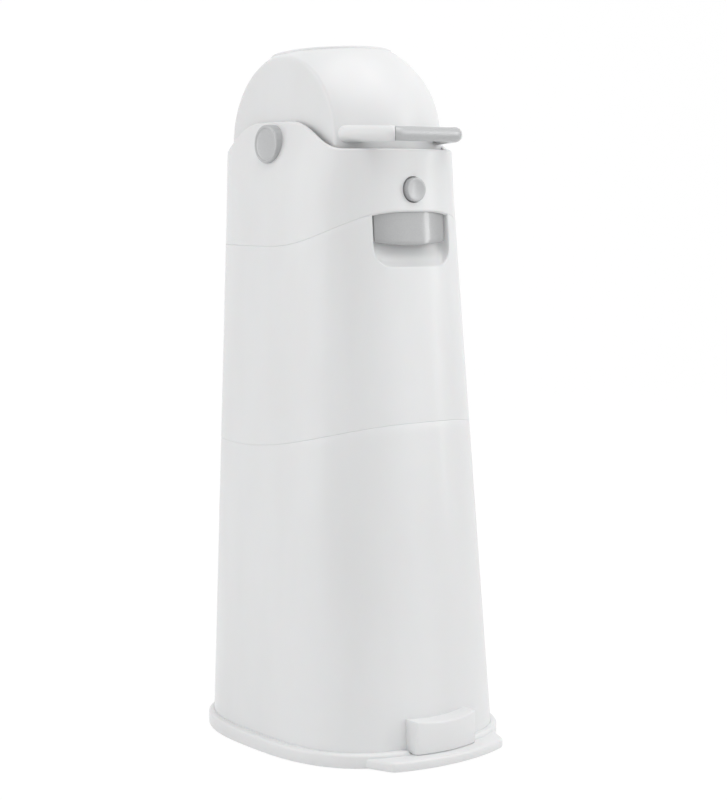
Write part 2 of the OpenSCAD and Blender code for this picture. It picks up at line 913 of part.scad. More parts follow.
// Button and catch
module at_button(y) {
    translate([0, y, button_z]) along_y() children();
}
module button_guide() {
    early = 2;
    color("gray")
        difference() {
            intersection() {
                at_button(guide_front_y - early) cylinder(r = guide_out, h = guide_l + early);
                loft(head_heights, wall);
            }
            at_button(guide_front_y - 2 * early)
                cylinder(r = button_r + slide_gap, h = 2 * early + guide_lip + over);
            at_button(guide_front_y + guide_lip)
                cylinder(r = flange_r + slide_gap, h = guide_l - guide_lip - guide_back);
            at_button(guide_front_y) cylinder(r = stem_r + slide_gap, h = guide_l + over);
        }
}
module lock_button() {
    edge = 1.2;
    dish = 0.8;
    back = guide_back_y + stem_proud - button_face_y;
    skirt = guide_front_y + guide_lip + slide_gap - button_face_y;
    color("silver")
        at_button(button_face_y)
            rotate_extrude()
                polygon([[0, dish], [button_r * 0.5, dish * 0.7], [button_r - edge, 0],
                    [button_r - edge * 0.3, edge * 0.3],
                    [button_r, edge], [button_r, skirt], [flange_r, skirt], [flange_r, skirt + flange_t],
                    [stem_r, skirt + flange_t], [stem_r, back], [0, back]]);
}
spring_low_y = guide_front_y + guide_lip + slide_gap + flange_t + 0.1;
spring_high_y = guide_back_y - guide_back - 0.1;
module button_spring() {
    wire = 0.4;
    turns = 2;
    steps = 12;
    coil_r = (stem_r + flange_r) / 2;
    ring_n = 6;
    count = turns * steps;
    pitch = (spring_high_y - spring_low_y - 2 * wire) / turns;
    rings = [
        for (i = [0 : count], j = [0 : ring_n - 1])
            let (a = 360 * i / steps, b = 360 * j / ring_n, r = coil_r + wire * cos(b))
                [r * cos(a), r * sin(a), wire + pitch * i / steps + wire * sin(b)]
    ];
    sides = [
        for (i = [0 : count - 1], j = [0 : ring_n - 1])
            let (a = i * ring_n + j, b = i * ring_n + (j + 1) % ring_n)
                each [[a, b, b + ring_n], [a, b + ring_n, a + ring_n]]
    ];
    start = [for (j = [ring_n - 1 : -1 : 0]) j];
    finish = [for (j = [0 : ring_n - 1]) count * ring_n + j];
    color("silver") at_button(spring_low_y) polyhedron(rings, concat([start, finish], sides), convexity = 8);
}
module latch_tongue() {
    knee = 8;
    wedge = 5;
    hook_top = keeper_z - keeper_t - 0.4;
    hook_reach = hook_y - tongue_play - hook_bite;
    color("lightgray")
        rotate([90, 0, 90])
            linear_extrude(tongue_w, center = true)
                polygon([[guide_back_y, root_high], [guide_back_y, root_low], [tongue_y, root_low - over],
                    [tongue_y, keeper_z + knee], [hook_y, keeper_z + knee / 2], [hook_y, hook_top],
                    [hook_reach, hook_top], [hook_reach, hook_top - 1], [hook_y, hook_top - 1 - wedge],
                    [hook_y + tongue_t, hook_top - 1 - wedge], [hook_y + tongue_t, keeper_z + knee / 2],
                    [tongue_y + tongue_t, keeper_z + knee], [tongue_y + tongue_t, root_low - over],
                    [guide_back_y + tongue_t, root_low], [guide_back_y + tongue_t, root_high]]);
}

// Drum, about the pivot with the tube along z
dome_reach = drum_r - drum_edge;
dome_r = (pow(dome_reach, 2) + pow(drum_dome, 2)) / (2 * drum_dome);
// Half of the drum's section: radius against distance from the middle
function drum_section(inset) = concat(
    [[0, 0], [drum_r - inset, 0]],
    [for (i = [0 : 6]) let (a = 90 * i / 6)
        [dome_reach + (drum_edge - inset) * cos(a), drum_half - drum_edge + (drum_edge - inset) * sin(a)]],
    [for (i = [1 : 7]) let (r = dome_reach * (1 - i / 7))
        [r, drum_half + drum_dome - inset - (dome_r - sqrt(pow(dome_r, 2) - pow(r, 2)))]]
);
module drum_solid(inset, flat) {
    intersection() {
        mirrored() along_x() rotate_extrude($fn = 120) polygon(drum_section(inset));
        cube([far, far, 2 * flat], center = true);
    }
}
bush_r = pin_r + 4;
module drum_shell() {
    color("white")
        at_drum()
            difference() {
                union() {
                    difference() {
                        drum_solid(0, mouth_plane);
                        drum_solid(drum_wall, mouth_plane - drum_wall);
                    }
                    mirrored()
                        along_x()
                            translate([0, 0, pin_low])
                                tube(bush_r + drum_wall, bush_r, hub_x - pin_low - drum_wall / 2);
                }
                translate([0, 0, -far / 2]) cylinder(r = tube_hole, h = far);
                along_x() cylinder(r = bush_r, h = far, center = true);
            }
}
module drum_tube() {
    color("white") at_drum() translate([0, 0, -mouth_plane]) tube(tube_out, tube_r, 2 * mouth_plane);
}
mouth_in = tube_r - 2;
module mouth_ring() {
    edge = 1.4;
    rotate_extrude($fn = 96)
        polygon([[mouth_in, 0], [mouth_r, 0], [mouth_r, mouth_ring_h - edge],
            [mouth_r - edge * 0.3, mouth_ring_h - edge * 0.3], [mouth_r - edge, mouth_ring_h],
            [mouth_in + edge, mouth_ring_h], [mouth_in + edge * 0.3, mouth_ring_h - edge * 0.3],
            [mouth_in, mouth_ring_h - edge]]);
}
module mouth_ring_upper() {
    color("white") at_drum() translate([0, 0, mouth_plane]) mouth_ring();
}
module mouth_ring_lower() {
    color("white") at_drum() mirror([0, 0, 1]) translate([0, 0, mouth_plane]) mouth_ring();
}
module hub_bush(side) {
    color("gainsboro")
        at_drum()
            mirror([side < 0 ? 1 : 0, 0, 0])
                along_x() translate([0, 0, pin_low]) tube(bush_r, pin_r + pin_play, hub_x - pin_low);
}
module hub_bush_left() {
    hub_bush(-1);
}
module hub_bush_right() {
    hub_bush(1);
}

// Handle, level at rest from its roots on the drum
root_y = 91;
module at_handle() {
    at_drum()
        translate([0, -root_y, handle_rise])
            rotate([drum_tilt, 0, 0]) translate([0, root_y - handle_reach, 0]) children();
}
module handle_arm() {
    end_x = grip_half + arm_bend * sin(arm_turn);
    end_y = arm_bend * (1 - cos(arm_turn));
    arm_l = (handle_reach - root_y - end_y) / sin(arm_turn);
    translate([grip_half, arm_bend, 0])
        rotate([0, 0, -90]) rotate_extrude(angle = arm_turn) translate([arm_bend, 0]) circle(arm_r);
    translate([end_x, end_y, 0])
        rotate([0, 0, arm_turn])
            along_x() {
                cylinder(r1 = arm_r, r2 = root_r, h = arm_l);
                translate([0, 0, arm_l]) sphere(root_r);
            }
}
module handle_bow() {
    color("white")
        difference() {
            at_handle()
                union() {
                    along_x() cylinder(r = bar_r, h = 2 * grip_half + 2, center = true);
                    mirrored() handle_arm();
                }
            at_drum() drum_solid(0, mouth_plane);
        }
}
module handle_grip() {
    color("silver")
        at_handle() translate([-grip_half, 0, 0]) along_x() tube(grip_r, bar_r, 2 * grip_half);
}

// Piston, at the lower end of the tube
piston_r = tube_r - 1.5;
piston_low = mouth_plane - fit;
seal_h = 4;
seal_bite = 1.5;
piston_skin = 2.5;
module at_piston(up) {
    at_drum() translate([0, 0, -piston_low + up]) children();
}
module piston_body() {
    color("gainsboro")
        at_piston(0)
            difference() {
                cylinder(r = piston_r, h = piston_h - piston_skin);
                translate([0, 0, piston_skin]) cylinder(r = piston_r - 2 * piston_skin, h = piston_h);
                seal_groove(seal_h);
                seal_groove(piston_h - piston_skin - 2 * seal_h);
            }
}
module seal_groove(up) {
    translate([0, 0, up]) tube(tube_r, piston_r - seal_bite, seal_h);
}
module piston_cover() {
    color("gainsboro")
        at_piston(piston_h - piston_skin)
            rotate_extrude($fn = 96)
                polygon([[0, 0], [piston_r, 0], [piston_r, piston_skin / 2],
                    [piston_r - piston_skin / 2, piston_skin], [0, piston_skin]]);
}
module piston_weight() {
    color("gray") at_piston(piston_skin) cylinder(r = weight_r, h = weight_t);
}
module piston_seal(up) {
    color("dimgray") at_piston(up) tube(tube_r - seal_gap, piston_r - seal_bite, seal_h);
}
module piston_seal_upper() {
    piston_seal(piston_h - piston_skin - 2 * seal_h);
}
module piston_seal_lower() {
    piston_seal(seal_h);
}

base_plate();
foot_pads();
base_screws();
foot_block();
foot_block_screws();
bucket();
middle_shell();
bag_collar();
collar_screws();
latch_keeper();
keeper_screws();
hinge_bracket();
bracket_screws();
hinge_pin();
head_shell();
head_gasket();
drum_cradle();
throat_lip();
lift_grip();
grip_screws();
hinge_leaf();
leaf_screws();
pivot_pin_left();
pivot_pin_right();
pivot_cap_left();
pivot_cap_right();
button_guide();
latch_tongue();
button_spring();
lock_button();
drum_shell();
drum_tube();
mouth_ring_upper();
mouth_ring_lower();
hub_bush_left();
hub_bush_right();
handle_bow();
handle_grip();
piston_body();
piston_cover();
piston_weight();
piston_seal_upper();
piston_seal_lower();
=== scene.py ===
import json
import math
import bpy
import bmesh
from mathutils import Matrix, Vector


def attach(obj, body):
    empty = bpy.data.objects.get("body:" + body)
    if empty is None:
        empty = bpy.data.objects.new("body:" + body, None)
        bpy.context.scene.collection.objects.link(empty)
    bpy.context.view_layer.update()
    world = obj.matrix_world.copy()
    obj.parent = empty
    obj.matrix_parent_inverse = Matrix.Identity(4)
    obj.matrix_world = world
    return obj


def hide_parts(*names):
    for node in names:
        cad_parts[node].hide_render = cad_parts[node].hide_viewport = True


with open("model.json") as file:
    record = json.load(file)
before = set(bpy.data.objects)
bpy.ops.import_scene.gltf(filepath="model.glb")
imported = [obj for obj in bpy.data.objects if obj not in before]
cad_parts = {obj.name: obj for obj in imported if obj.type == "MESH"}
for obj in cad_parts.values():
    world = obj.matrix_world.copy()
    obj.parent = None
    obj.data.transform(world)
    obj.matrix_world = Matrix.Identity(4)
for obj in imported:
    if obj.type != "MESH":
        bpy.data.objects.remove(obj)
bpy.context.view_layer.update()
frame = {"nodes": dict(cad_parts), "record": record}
mm = 0.001   # sizes of the object are in millimetres, those of the studio in metres

# the photograph's own view, with its angles in degrees
photoView = {"azimuth": 37.318, "turn": 0.809, "dip": 6.174, "distance": 1999.0, "height": 557.5,
             "behind": 36.0, "lens": 87.28, "sensor": 36, "near": 0.05, "far": 60}


def placeCamera(view):
    data = bpy.data.cameras.new("photoCamera")
    data.lens, data.sensor_width = view["lens"], view["sensor"]
    data.clip_start, data.clip_end = view["near"], view["far"]
    camera = bpy.data.objects.new("photoCamera", data)
    around = math.radians(view["azimuth"])
    camera.location = (-math.sin(around) * view["distance"] * mm,
                       (view["behind"] - math.cos(around) * view["distance"]) * mm, view["height"] * mm)
    camera.rotation_euler = (math.radians(90 - view["dip"]), 0, -math.radians(view["azimuth"] + view["turn"]))
    bpy.context.scene.collection.objects.link(camera)
    bpy.context.scene.camera = camera


placeCamera(photoView)
bpy.context.scene.view_settings.view_transform = "Standard"
print("camera placed")


# node trees, with sockets that add up like numbers
class Wire:
    def __init__(self, bench, socket):
        self.bench = bench
        self.socket = socket

    def maths(self, operation, first, second):
        return self.bench.add("ShaderNodeMath", {"operation": operation}, {0: first, 1: second})

    def __add__(self, other): return self.maths("ADD", self, other)
    __radd__ = __add__
    def __mul__(self, other): return self.maths("MULTIPLY", self, other)
    __rmul__ = __mul__
    def __sub__(self, other): return self.maths("SUBTRACT", self, other)
    def __rsub__(self, other): return self.maths("SUBTRACT", other, self)
    def atLeast(self, other): return self.maths("MAXIMUM", self, other)


class Bench:
    def __init__(self, tree):
        self.tree = tree

    def add(self, kind, settings=None, values=None, out=0):
        node = self.tree.nodes.new(kind)
        for name, value in (settings or {}).items():
            setattr(node, name, value)
        for name, value in (values or {}).items():
            socket = node.inputs[name]
            if isinstance(value, Wire):
                self.tree.links.new(value.socket, socket)
            else:
                socket.default_value = value
        return Wire(self, node.outputs[out]) if node.outputs else None

    def blend(self, factor, first, second):   # colours
        return self.add("ShaderNodeMix", {"data_type": "RGBA"}, {0: factor, 6: first, 7: second}, 2)

    def smooth(self, value, low, high):   # 0 below low, 1 above high
        return self.add("ShaderNodeMapRange", {"interpolation_type": "SMOOTHSTEP"},
                        {"Value": value, "From Min": low, "From Max": high})

    def bump(self, strength, deep, height):
        return self.add("ShaderNodeBump", {}, {"Strength": strength, "Distance": deep, "Height": height})


def openBench(owner):   # the emptied tree of a material or a world
    owner.use_nodes = True
    owner.node_tree.nodes.clear()
    return Bench(owner.node_tree)


def newFinish(name):
    material = bpy.data.materials.new(name)
    bench = openBench(material)
    return material, bench, bench.add("ShaderNodeTexCoord", out="Object")


def closeFinish(bench, values):
    surface = bench.add("ShaderNodeBsdfPrincipled", {}, values)
    bench.add("ShaderNodeOutputMaterial", {}, {"Surface": surface})


def grain(bench, place, scale, detail=2.0, stretch=(1, 1, 1), rough=0.5):
    spread = bench.add("ShaderNodeMapping", {}, {"Vector": place, "Scale": stretch})
    return bench.add("ShaderNodeTexNoise", {},
                     {"Vector": spread, "Scale": scale, "Detail": detail, "Roughness": rough})


def rgb(shade, warm=0.0):
    return (shade * (1 + warm), shade, shade * (1 - warm), 1.0)


# moulded gloss plastic of the bin's outside
shellGloss = {"shade": 0.80, "darker": 0.775, "rough": 0.36, "roughSpread": 0.06, "flow": 7.0,
              "speck": 950.0, "speckShade": 0.6, "speckShare": 0.05, "speckRough": 0.04,
              "peel": 420.0, "peelBump": 0.05, "peelDeep": 0.0006, "coat": 0.12, "coatRough": 0.14,
              "bending": 1.49, "glow": 0.06, "glowReach": 0.004}


def makeShellGloss(s):
    material, bench, place = newFinish("shellGloss")
    flow = bench.smooth(grain(bench, place, s["flow"], 3, (1.6, 1.6, 0.5)), 0.35, 0.65)
    speck = bench.smooth(grain(bench, place, s["speck"], 1), 0.66, 0.74)
    colour = bench.blend(flow, rgb(s["shade"], -0.006), rgb(s["darker"], -0.004))
    colour = bench.blend(speck * s["speckShare"], colour, rgb(s["speckShade"]))
    rough = s["rough"] + (flow - 0.5) * s["roughSpread"] + speck * s["speckRough"]
    normal = bench.bump(s["peelBump"], s["peelDeep"], grain(bench, place, s["peel"], 2))
    closeFinish(bench, {"Base Color": colour, "Roughness": rough, "Normal": normal, "IOR": s["bending"],
                        "Coat Weight": s["coat"], "Coat Roughness": s["coatRough"],
                        "Subsurface Weight": s["glow"], "Subsurface Scale": s["glowReach"]})
    return material


# silver-grey plastic with a fine metal flake, for grip, button, plate and caps
silverFlake = {"shade": 0.47, "bright": 0.57, "rough": 0.34, "flake": 2600.0, "cloud": 30.0, "fine": 900.0,
               "metal": 0.12, "glint": 0.15, "bump": 0.06, "deep": 0.0003, "coat": 0.3, "coatRough": 0.1}


def makeSilverFlake(name, s):
    material, bench, place = newFinish(name)
    flake = bench.add("ShaderNodeTexVoronoi", {}, {"Vector": place, "Scale": s["flake"]}, "Color")
    glint = bench.smooth(flake, 0.25, 0.95)
    cloud = grain(bench, place, s["cloud"], 2) - 0.5
    colour = bench.blend(glint * 0.5 + cloud * 0.3, rgb(s["shade"], -0.012), rgb(s["bright"], -0.01))
    rough = s["rough"] + (1 - glint) * 0.08 + cloud * 0.06
    normal = bench.bump(s["bump"], s["deep"], glint * 0.4 + grain(bench, place, s["fine"], 2))
    closeFinish(bench, {"Base Color": colour, "Roughness": rough, "Normal": normal,
                        "Metallic": s["metal"] + glint * s["glint"],
                        "Coat Weight": s["coat"], "Coat Roughness": s["coatRough"]})
    return material


# spark-textured plastic of inner pieces
sparkPlastic = {"spark": 1500.0, "flow": 9.0, "darker": 0.9, "bump": 0.22, "deep": 0.0004, "roughSpread": 0.16}


def makeSparkPlastic(name, s):
    material, bench, place = newFinish(name)
    spark = grain(bench, place, s["spark"], 3, rough=0.65)
    flow = grain(bench, place, s["flow"], 2, (1.5, 1.5, 0.6))
    colour = bench.blend(spark * 0.35 + flow * 0.4, rgb(s["shade"]), rgb(s["shade"] * s["darker"], 0.004))
    normal = bench.bump(s["bump"], s["deep"], spark)
    closeFinish(bench, {"Base Color": colour, "Roughness": s["rough"] + (spark - 0.5) * s["roughSpread"],
                        "Normal": normal})
    return material


# soft black rubber with a fine bloom
sealRubber = {"shade": 0.03, "bloom": 0.075, "bloomSize": 45.0, "fine": 1800.0, "bump": 0.3, "deep": 0.0004,
              "rough": 0.74, "roughSpread": 0.2}


def makeSealRubber(s):
    material, bench, place = newFinish("sealRubber")
    bloom = bench.smooth(grain(bench, place, s["bloomSize"], 3), 0.45, 0.75)
    fine = grain(bench, place, s["fine"], 2)
    colour = bench.blend(bloom * 0.5, rgb(s["shade"]), rgb(s["bloom"]))
    normal = bench.bump(s["bump"], s["deep"], fine)
    closeFinish(bench, {"Base Color": colour, "Roughness": s["rough"] + (fine - 0.5) * s["roughSpread"],
                        "Normal": normal})
    return material


# zinc-plated steel, with drawn lines and faint patches
zincSteel = {"shade": 0.58, "bright": 0.66, "drawn": 900.0, "patch": 160.0, "bump": 0.15, "deep": 0.0003,
             "rough": 0.3, "drawnRough": 0.14, "patchRough": 0.06}


def makeZincSteel(s):
    material, bench, place = newFinish("zincSteel")
    drawn = grain(bench, place, s["drawn"], 2, (0.08, 1, 1))
    patch = bench.smooth(grain(bench, place, s["patch"], 3), 0.35, 0.7)
    colour = bench.blend(patch, rgb(s["shade"], -0.02), rgb(s["bright"], 0.02))
    rough = s["rough"] + drawn * s["drawnRough"] + patch * s["patchRough"]
    normal = bench.bump(s["bump"], s["deep"], drawn)
    closeFinish(bench, {"Base Color": colour, "Roughness": rough, "Metallic": 1.0, "Normal": normal})
    return material


finishes = {"white_shell": makeShellGloss(shellGloss),
            "silver_plastic": makeSilverFlake("silverFlake", silverFlake),
            "inner_plastic": makeSparkPlastic("innerSatin", dict(sparkPlastic, shade=0.78, rough=0.42)),
            "grey_plastic": makeSparkPlastic("catchGrey", dict(sparkPlastic, shade=0.4, rough=0.45)),
            "seal_rubber": makeSealRubber(sealRubber), "steel": makeZincSteel(zincSteel)}
# a darker copy of the silver finish for the grip plate: its lower shade and bright are painted shade for the plate set
# back in the recess; its stronger coat only adds gloss
plateFinishPaintedShade = makeSilverFlake("plateFlakePaintedShade", dict(silverFlake, shade=0.35, bright=0.43, coat=0.7))
slotOf = {p["node"]: p["material_slot"] for p in frame["record"]["subparts"]}
print("finishes made:", len(finishes))


# meshes
def makePiece(name, points, faces, sharpAbove=38, closed=True):
    mesh = bpy.data.meshes.new(name)
    mesh.from_pydata([Vector(p) * mm for p in points], [], faces)
    bm = bmesh.new()
    bm.from_mesh(mesh)
    bmesh.ops.remove_doubles(bm, verts=bm.verts, dist=1e-7)
    if closed:
        bmesh.ops.recalc_face_normals(bm, faces=bm.faces)
    bm.to_mesh(mesh)
    bm.free()
    mesh.shade_smooth()
    mesh.set_sharp_from_angle(angle=math.radians(sharpAbove))
    piece = bpy.data.objects.new(name, mesh)
    bpy.context.scene.collection.objects.link(piece)
    return piece


def skin(name, loops, ring=False, sharpAbove=38):   # joins loop to loop, then closes the ring or caps both ends
    count, last = len(loops[0]), len(loops) - 1
    points = [p for loop in loops for p in loop]
    faces = []
    for low, high in [(k, k + 1) for k in range(last)] + ([(last, 0)] if ring else []):
        for i in range(count):
            j = (i + 1) % count
            faces.append((low * count + i, low * count + j, high * count + j, high * count + i))
    if not ring:
        faces.append(tuple(range(count - 1, -1, -1)))
        faces.append(tuple(last * count + i for i in range(count)))
    return makePiece(name, points, faces, sharpAbove)


def dress(piece, body, slotName, node, finish=None):
    piece.data.materials.clear()
    piece.data.materials.append(finish or finishes[slotName])
    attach(piece, body)
    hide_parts(node)


def freshMesh(piece):   # modifiers become plain mesh
    graph = bpy.context.evaluated_depsgraph_get()
    mesh = bpy.data.meshes.new_from_object(piece.evaluated_get(graph))
    piece.modifiers.clear()
    old, piece.data = piece.data, mesh
    bpy.data.meshes.remove(old)
    return piece


def cutBy(piece, cutter, sharpAbove=38):
    cut = piece.modifiers.new("cut", "BOOLEAN")
    cut.operation, cut.solver, cut.object = "DIFFERENCE", "EXACT", cutter
    freshMesh(piece)
    piece.data.shade_smooth()
    piece.data.set_sharp_from_angle(angle=math.radians(sharpAbove))
    bpy.data.objects.remove(cutter)
    return piece


def bends(start, end, steps):   # angles in radians, given in degrees
    return [math.radians(start + (end - start) * k / steps) for k in range(steps + 1)]


def circle(r, sides):
    return [(r * math.cos(2 * math.pi * i / sides), r * math.sin(2 * math.pi * i / sides)) for i in range(sides)]


def turned(profile, sides, place=lambda p: p):   # profile of (along, radius) round the x axis
    return [[place((x, y, z)) for y, z in circle(r, sides)] for x, r in profile]


def stations(half, edge, steps):   # places across a width, and how far the section tucks in at each
    first = [(-half, edge), (-half + edge * 0.13, edge * 0.5), (-half + edge * 0.5, edge * 0.13), (-half + edge, 0)]
    middle = [((-1 + 2 * k / steps) * (half - edge), 0) for k in range(1, steps)]
    return first + middle + [(-x, tuck) for x, tuck in reversed(first)]


def bowRadius(half, rise):   # of the arc that rises this much in half its chord
    return (half ** 2 + rise ** 2) / (2 * rise)


# the bin's outline: a rounded square that tapers, with an upright back
body = {"lowW": 243.0, "lowD": 281.5, "highW": 177.4, "highD": 237.0, "square": 3.0, "backY": 152.0,
        "pivotZ": 603.0, "earTop": 625.0, "earLean": 10.5, "leanH": 72.0, "leanSoft": 9.0, "earSquare": 1.1,
        "wall": 2.5}
seams = {"lowZ": 302.0, "lowRise": 29.4, "lowY": 61.0, "lowPower": 1.8,
         "highZ": 502.0, "highRise": 35.8, "highY": 29.0, "highPower": 2.3, "gap": 0.05}
rim = {"flat": 25.0, "foot": 100.0, "drop": 5.5, "firstPull": 2.4, "lastPull": 0.75, "rounds": 30}
columnRule = {"count": 240, "steps": 1200, "atZ": 300.0, "bendPull": 60.0}
drumRoom = {"ringUp": 92.8, "ringOut": 61.4, "gap": 2.2}   # a mouth ring's edge from the pivot, and its gap


def lean(z):
    up = (z - body["earTop"] + body["leanH"]) / body["leanH"]
    soft = body["leanSoft"] / body["leanH"]
    return max(0.0, (up + math.sqrt(up * up + soft * soft)) / 2 - soft * soft / 8) if up > -1 else 0.0


def tapered(low, high, z): return (low + (high - low) * z / body["pivotZ"]) / 2
def halfW(z): return tapered(body["lowW"], body["highW"], z) - body["earLean"] * lean(z)
def halfD(z): return tapered(body["lowD"], body["highD"], z)
def middleY(z): return body["backY"] - halfD(z)
def squareness(z): return body["square"] + body["earSquare"] * lean(z)
def powered(v, e): return math.copysign(abs(v) ** e, v)


def outline(z, t, inset=0.0):
    e = 2 / squareness(z)
    return ((halfW(z) - inset) * powered(math.cos(t), e),
            middleY(z) + (halfD(z) - inset) * powered(math.sin(t), e), z)


def frontAt(x, z):   # the front face's place behind a given width
    part = min(1.0, abs(x) / halfW(z))
    n = squareness(z)
    return middleY(z) - halfD(z) * (1 - part ** n) ** (1 / n)


def evenAngles(s):   # even steps along the outline, closer where it bends, alike in all four quarters
    steps, share, rightAngle = s["steps"], s["count"] // 4, math.pi / 2
    walk, last, heading = [0.0], outline(s["atZ"], 0), None
    for k in range(1, steps + 1):
        point = outline(s["atZ"], rightAngle * k / steps)
        dx, dy = point[0] - last[0], point[1] - last[1]
        turn = math.atan2(dy, dx)
        bend = 0 if heading is None else abs(turn - heading)
        walk.append(walk[-1] + math.hypot(dx, dy) + s["bendPull"] * bend)
        last, heading = point, turn
    quarter, k = [], 0
    for i in range(share):
        while walk[k] < walk[-1] * i / share:
            k += 1
        quarter.append(rightAngle * k / steps)
    whole = quarter + [rightAngle] + [math.pi - a for a in reversed(quarter)][:-1]
    return whole + [math.pi] + [2 * math.pi - a for a in reversed(whole[1:])]


columns = evenAngles(columnRule)


def seamCurve(which):   # a seam's height over a place between front and back
    z, rise, start, power = (seams[which + part] for part in ("Z", "Rise", "Y", "Power"))
    front = body["backY"] - 2 * halfD(z + rise)
    return lambda y: z + rise * max(0, (start - y) / (start - front)) ** power


lowSeam, highSeam = seamCurve("low"), seamCurve("high")
seamFrontZ = seams["highZ"] + seams["highRise"]
pivotY = body["backY"] - body["wall"] - math.hypot(drumRoom["ringUp"], drumRoom["ringOut"]) - drumRoom["gap"]


def rimLine(y):   # the head's rim: ears in the middle, low at front and back
    away = abs(y - pivotY)
    if away <= rim["flat"]:
        return body["earTop"]
    if away >= rim["foot"]:
        return body["pivotZ"] - rim["drop"]
    low, high = 0.0, 1.0
    for _ in range(rim["rounds"]):
        t = (low + high) / 2
        reach = ((1 - t) ** 3 * rim["flat"] + 3 * (1 - t) ** 2 * t * rim["flat"] * rim["firstPull"]
                 + 3 * (1 - t) * t * t * rim["foot"] * rim["lastPull"] + t ** 3 * rim["foot"])
        low, high = (t, high) if reach < away else (low, t)
    return body["earTop"] - (body["earTop"] - body["pivotZ"] + rim["drop"]) * (3 * t * t - 2 * t ** 3)


def meet(t, curve, inset=0.0):   # the height at which a column of the outline meets a curve
    z = curve(middleY(500))
    for _ in range(12):
        z = curve(outline(z, t, inset)[1])
    return z


def flatAt(z):
    return lambda y: z


def level(z, inset):   # a flat loop
    return [outline(z, t, inset) for t in columns]


def along(curve, inset=0.0, shift=0.0):   # a loop on a curve, or shifted up from it
    return [outline(meet(t, curve, inset) + shift, t, inset) for t in columns]


def between(low, high, part, inset=0.0):   # a loop part of the way from one curve to another
    loop = []
    for t in columns:
        a, b = meet(t, low, inset), meet(t, high, inset)
        loop.append(outline(a + (b - a) * part, t, inset))
    return loop


def roundOver(edge, curve):   # loops that round the outer edge of a rim
    return [along(curve, edge * (1 - math.cos(a)), edge * math.sin(a) - edge) for a in bends(0, 90, 3)]


# base ring, with a notch behind the foot block
baseSizes = {"low": 1.0, "floor": 8.0, "ringOut": 8.0, "square": 2.7, "ringFront": 15.0, "ringBack": 15.5,
             "depth": 320.0, "edge": 3.2, "fit": 0.06, "pocket": 5.5, "pocketIn": 5.0,
             "notch": 41.5, "notchRamp": 3.0, "notchDrop": 0.2}
plateSizes = {"width": 142.0, "bow": 13.5, "corner": 9.0, "flare": 24.0, "back": 70.0, "thick": 10.0, "edge": 2.4}


def ringTop(x, y):
    b = baseSizes
    top = b["ringFront"] + (b["ringBack"] - b["ringFront"]) * (y + b["depth"] / 2) / b["depth"]
    if y < 0 and abs(x) < b["notch"]:
        share = min(1.0, (b["notch"] - abs(x)) / b["notchRamp"])
        top += (b["low"] + plateSizes["thick"] - b["notchDrop"] - top) * share
    return top


def makeBaseRing(b):
    low, e = b["low"], b["edge"]
    def outer(tuck, drop=0.0, z=None):   # the ring's outline is a little rounder than the body's
        halfX, halfY, power = halfW(low) + b["ringOut"] - tuck, halfD(low) + b["ringOut"] - tuck, 2 / b["square"]
        loop = []
        for t in columns:
            x, y = halfX * powered(math.cos(t), power), middleY(low) + halfY * powered(math.sin(t), power)
            loop.append((x, y, ringTop(x, y) - drop if z is None else z))
        return loop
    def inner(inset, drop=0.0):
        loop = []
        for t in columns:
            x, y, _ = outline(b["ringFront"], t, inset)
            loop.append(outline(ringTop(x, y) - drop, t, inset))
        return loop
    loops = [level(b["pocket"], b["pocketIn"]), level(low, b["pocketIn"])]
    loops += [outer(tuck, z=low + up) for tuck, up in ((1.2, 0), (0.35, 0.35), (0, 1.2))]
    loops += [outer(0, e + 3)]
    loops += [outer(e * (1 - math.cos(a)), e * (1 - math.sin(a))) for a in bends(0, 90, 6)]
    loops += [inner(-b["fit"] - 0.2), inner(-b["fit"], 0.2), level(b["floor"], -b["fit"])]
    return skin("baseRing", loops)


def plateOutline(s):   # bowed in front, with round corners and flaring sides
    front, half, r = -baseSizes["depth"] / 2, s["width"] / 2, s["corner"]
    radius = bowRadius(half, s["bow"])
    def bowY(x): return front + radius - math.sqrt(radius ** 2 - x ** 2)
    corner = Vector((half, bowY(half)))
    inwards = Vector((-1, -(half / math.sqrt(radius ** 2 - half ** 2)))).normalized()
    side = Vector((s["flare"], s["back"] - s["bow"])).normalized()
    angle = math.acos(max(-1, min(1, inwards.dot(side))))
    setBack = r / math.tan(angle / 2)
    first, last = corner + inwards * setBack, corner + side * setBack
    centre = corner + (inwards + side).normalized() * (r / math.sin(angle / 2))
    points = [(x, bowY(x)) for x in [first.x * k / 14 for k in range(0, 14)]]
    a0 = math.atan2(first.y - centre.y, first.x - centre.x)
    a1 = math.atan2(last.y - centre.y, last.x - centre.x)
    for a in [a0 + (a1 - a0) * k / 8 for k in range(9)]:
        points.append((centre.x + r * math.cos(a), centre.y + r * math.sin(a)))
    points += [(half + s["flare"], front + s["back"])]
    return points + [(-x, y) for x, y in reversed(points[1:])]


def shrink(polygon, by):   # a closed outline moved inwards
    count, moved = len(polygon), []
    for i, (x, y) in enumerate(polygon):
        before, here, after = Vector(polygon[i - 1]), Vector((x, y)), Vector(polygon[(i + 1) % count])
        a, b = (here - before).normalized(), (after - here).normalized()
        inward = Vector((-(a.y + b.y), a.x + b.x)).normalized()
        square = max(0.4, inward.dot(Vector((-a.y, a.x))))
        moved.append((x + inward.x * by / square, y + inward.y * by / square))
    return moved


def makeFootPlate(s):
    flat = plateOutline(s)
    low, high, e = baseSizes["low"], baseSizes["low"] + s["thick"], s["edge"]
    steps = [(e, low), (e * 0.3, low + e * 0.3), (0, low + e)]
    steps += [(e * (1 - math.cos(a)), high - e + e * math.sin(a)) for a in bends(0, 90, 3)]
    return skin("footPlate", [[(x, y, z) for x, y in shrink(flat, by)] for by, z in steps])


# foot block
blockSizes = {"width": 76.0, "height": 33.3, "low": 11.2, "deep": 19.0, "bow": 6.0, "dip": 3.0, "edge": 1.5, "lap": 0.6}


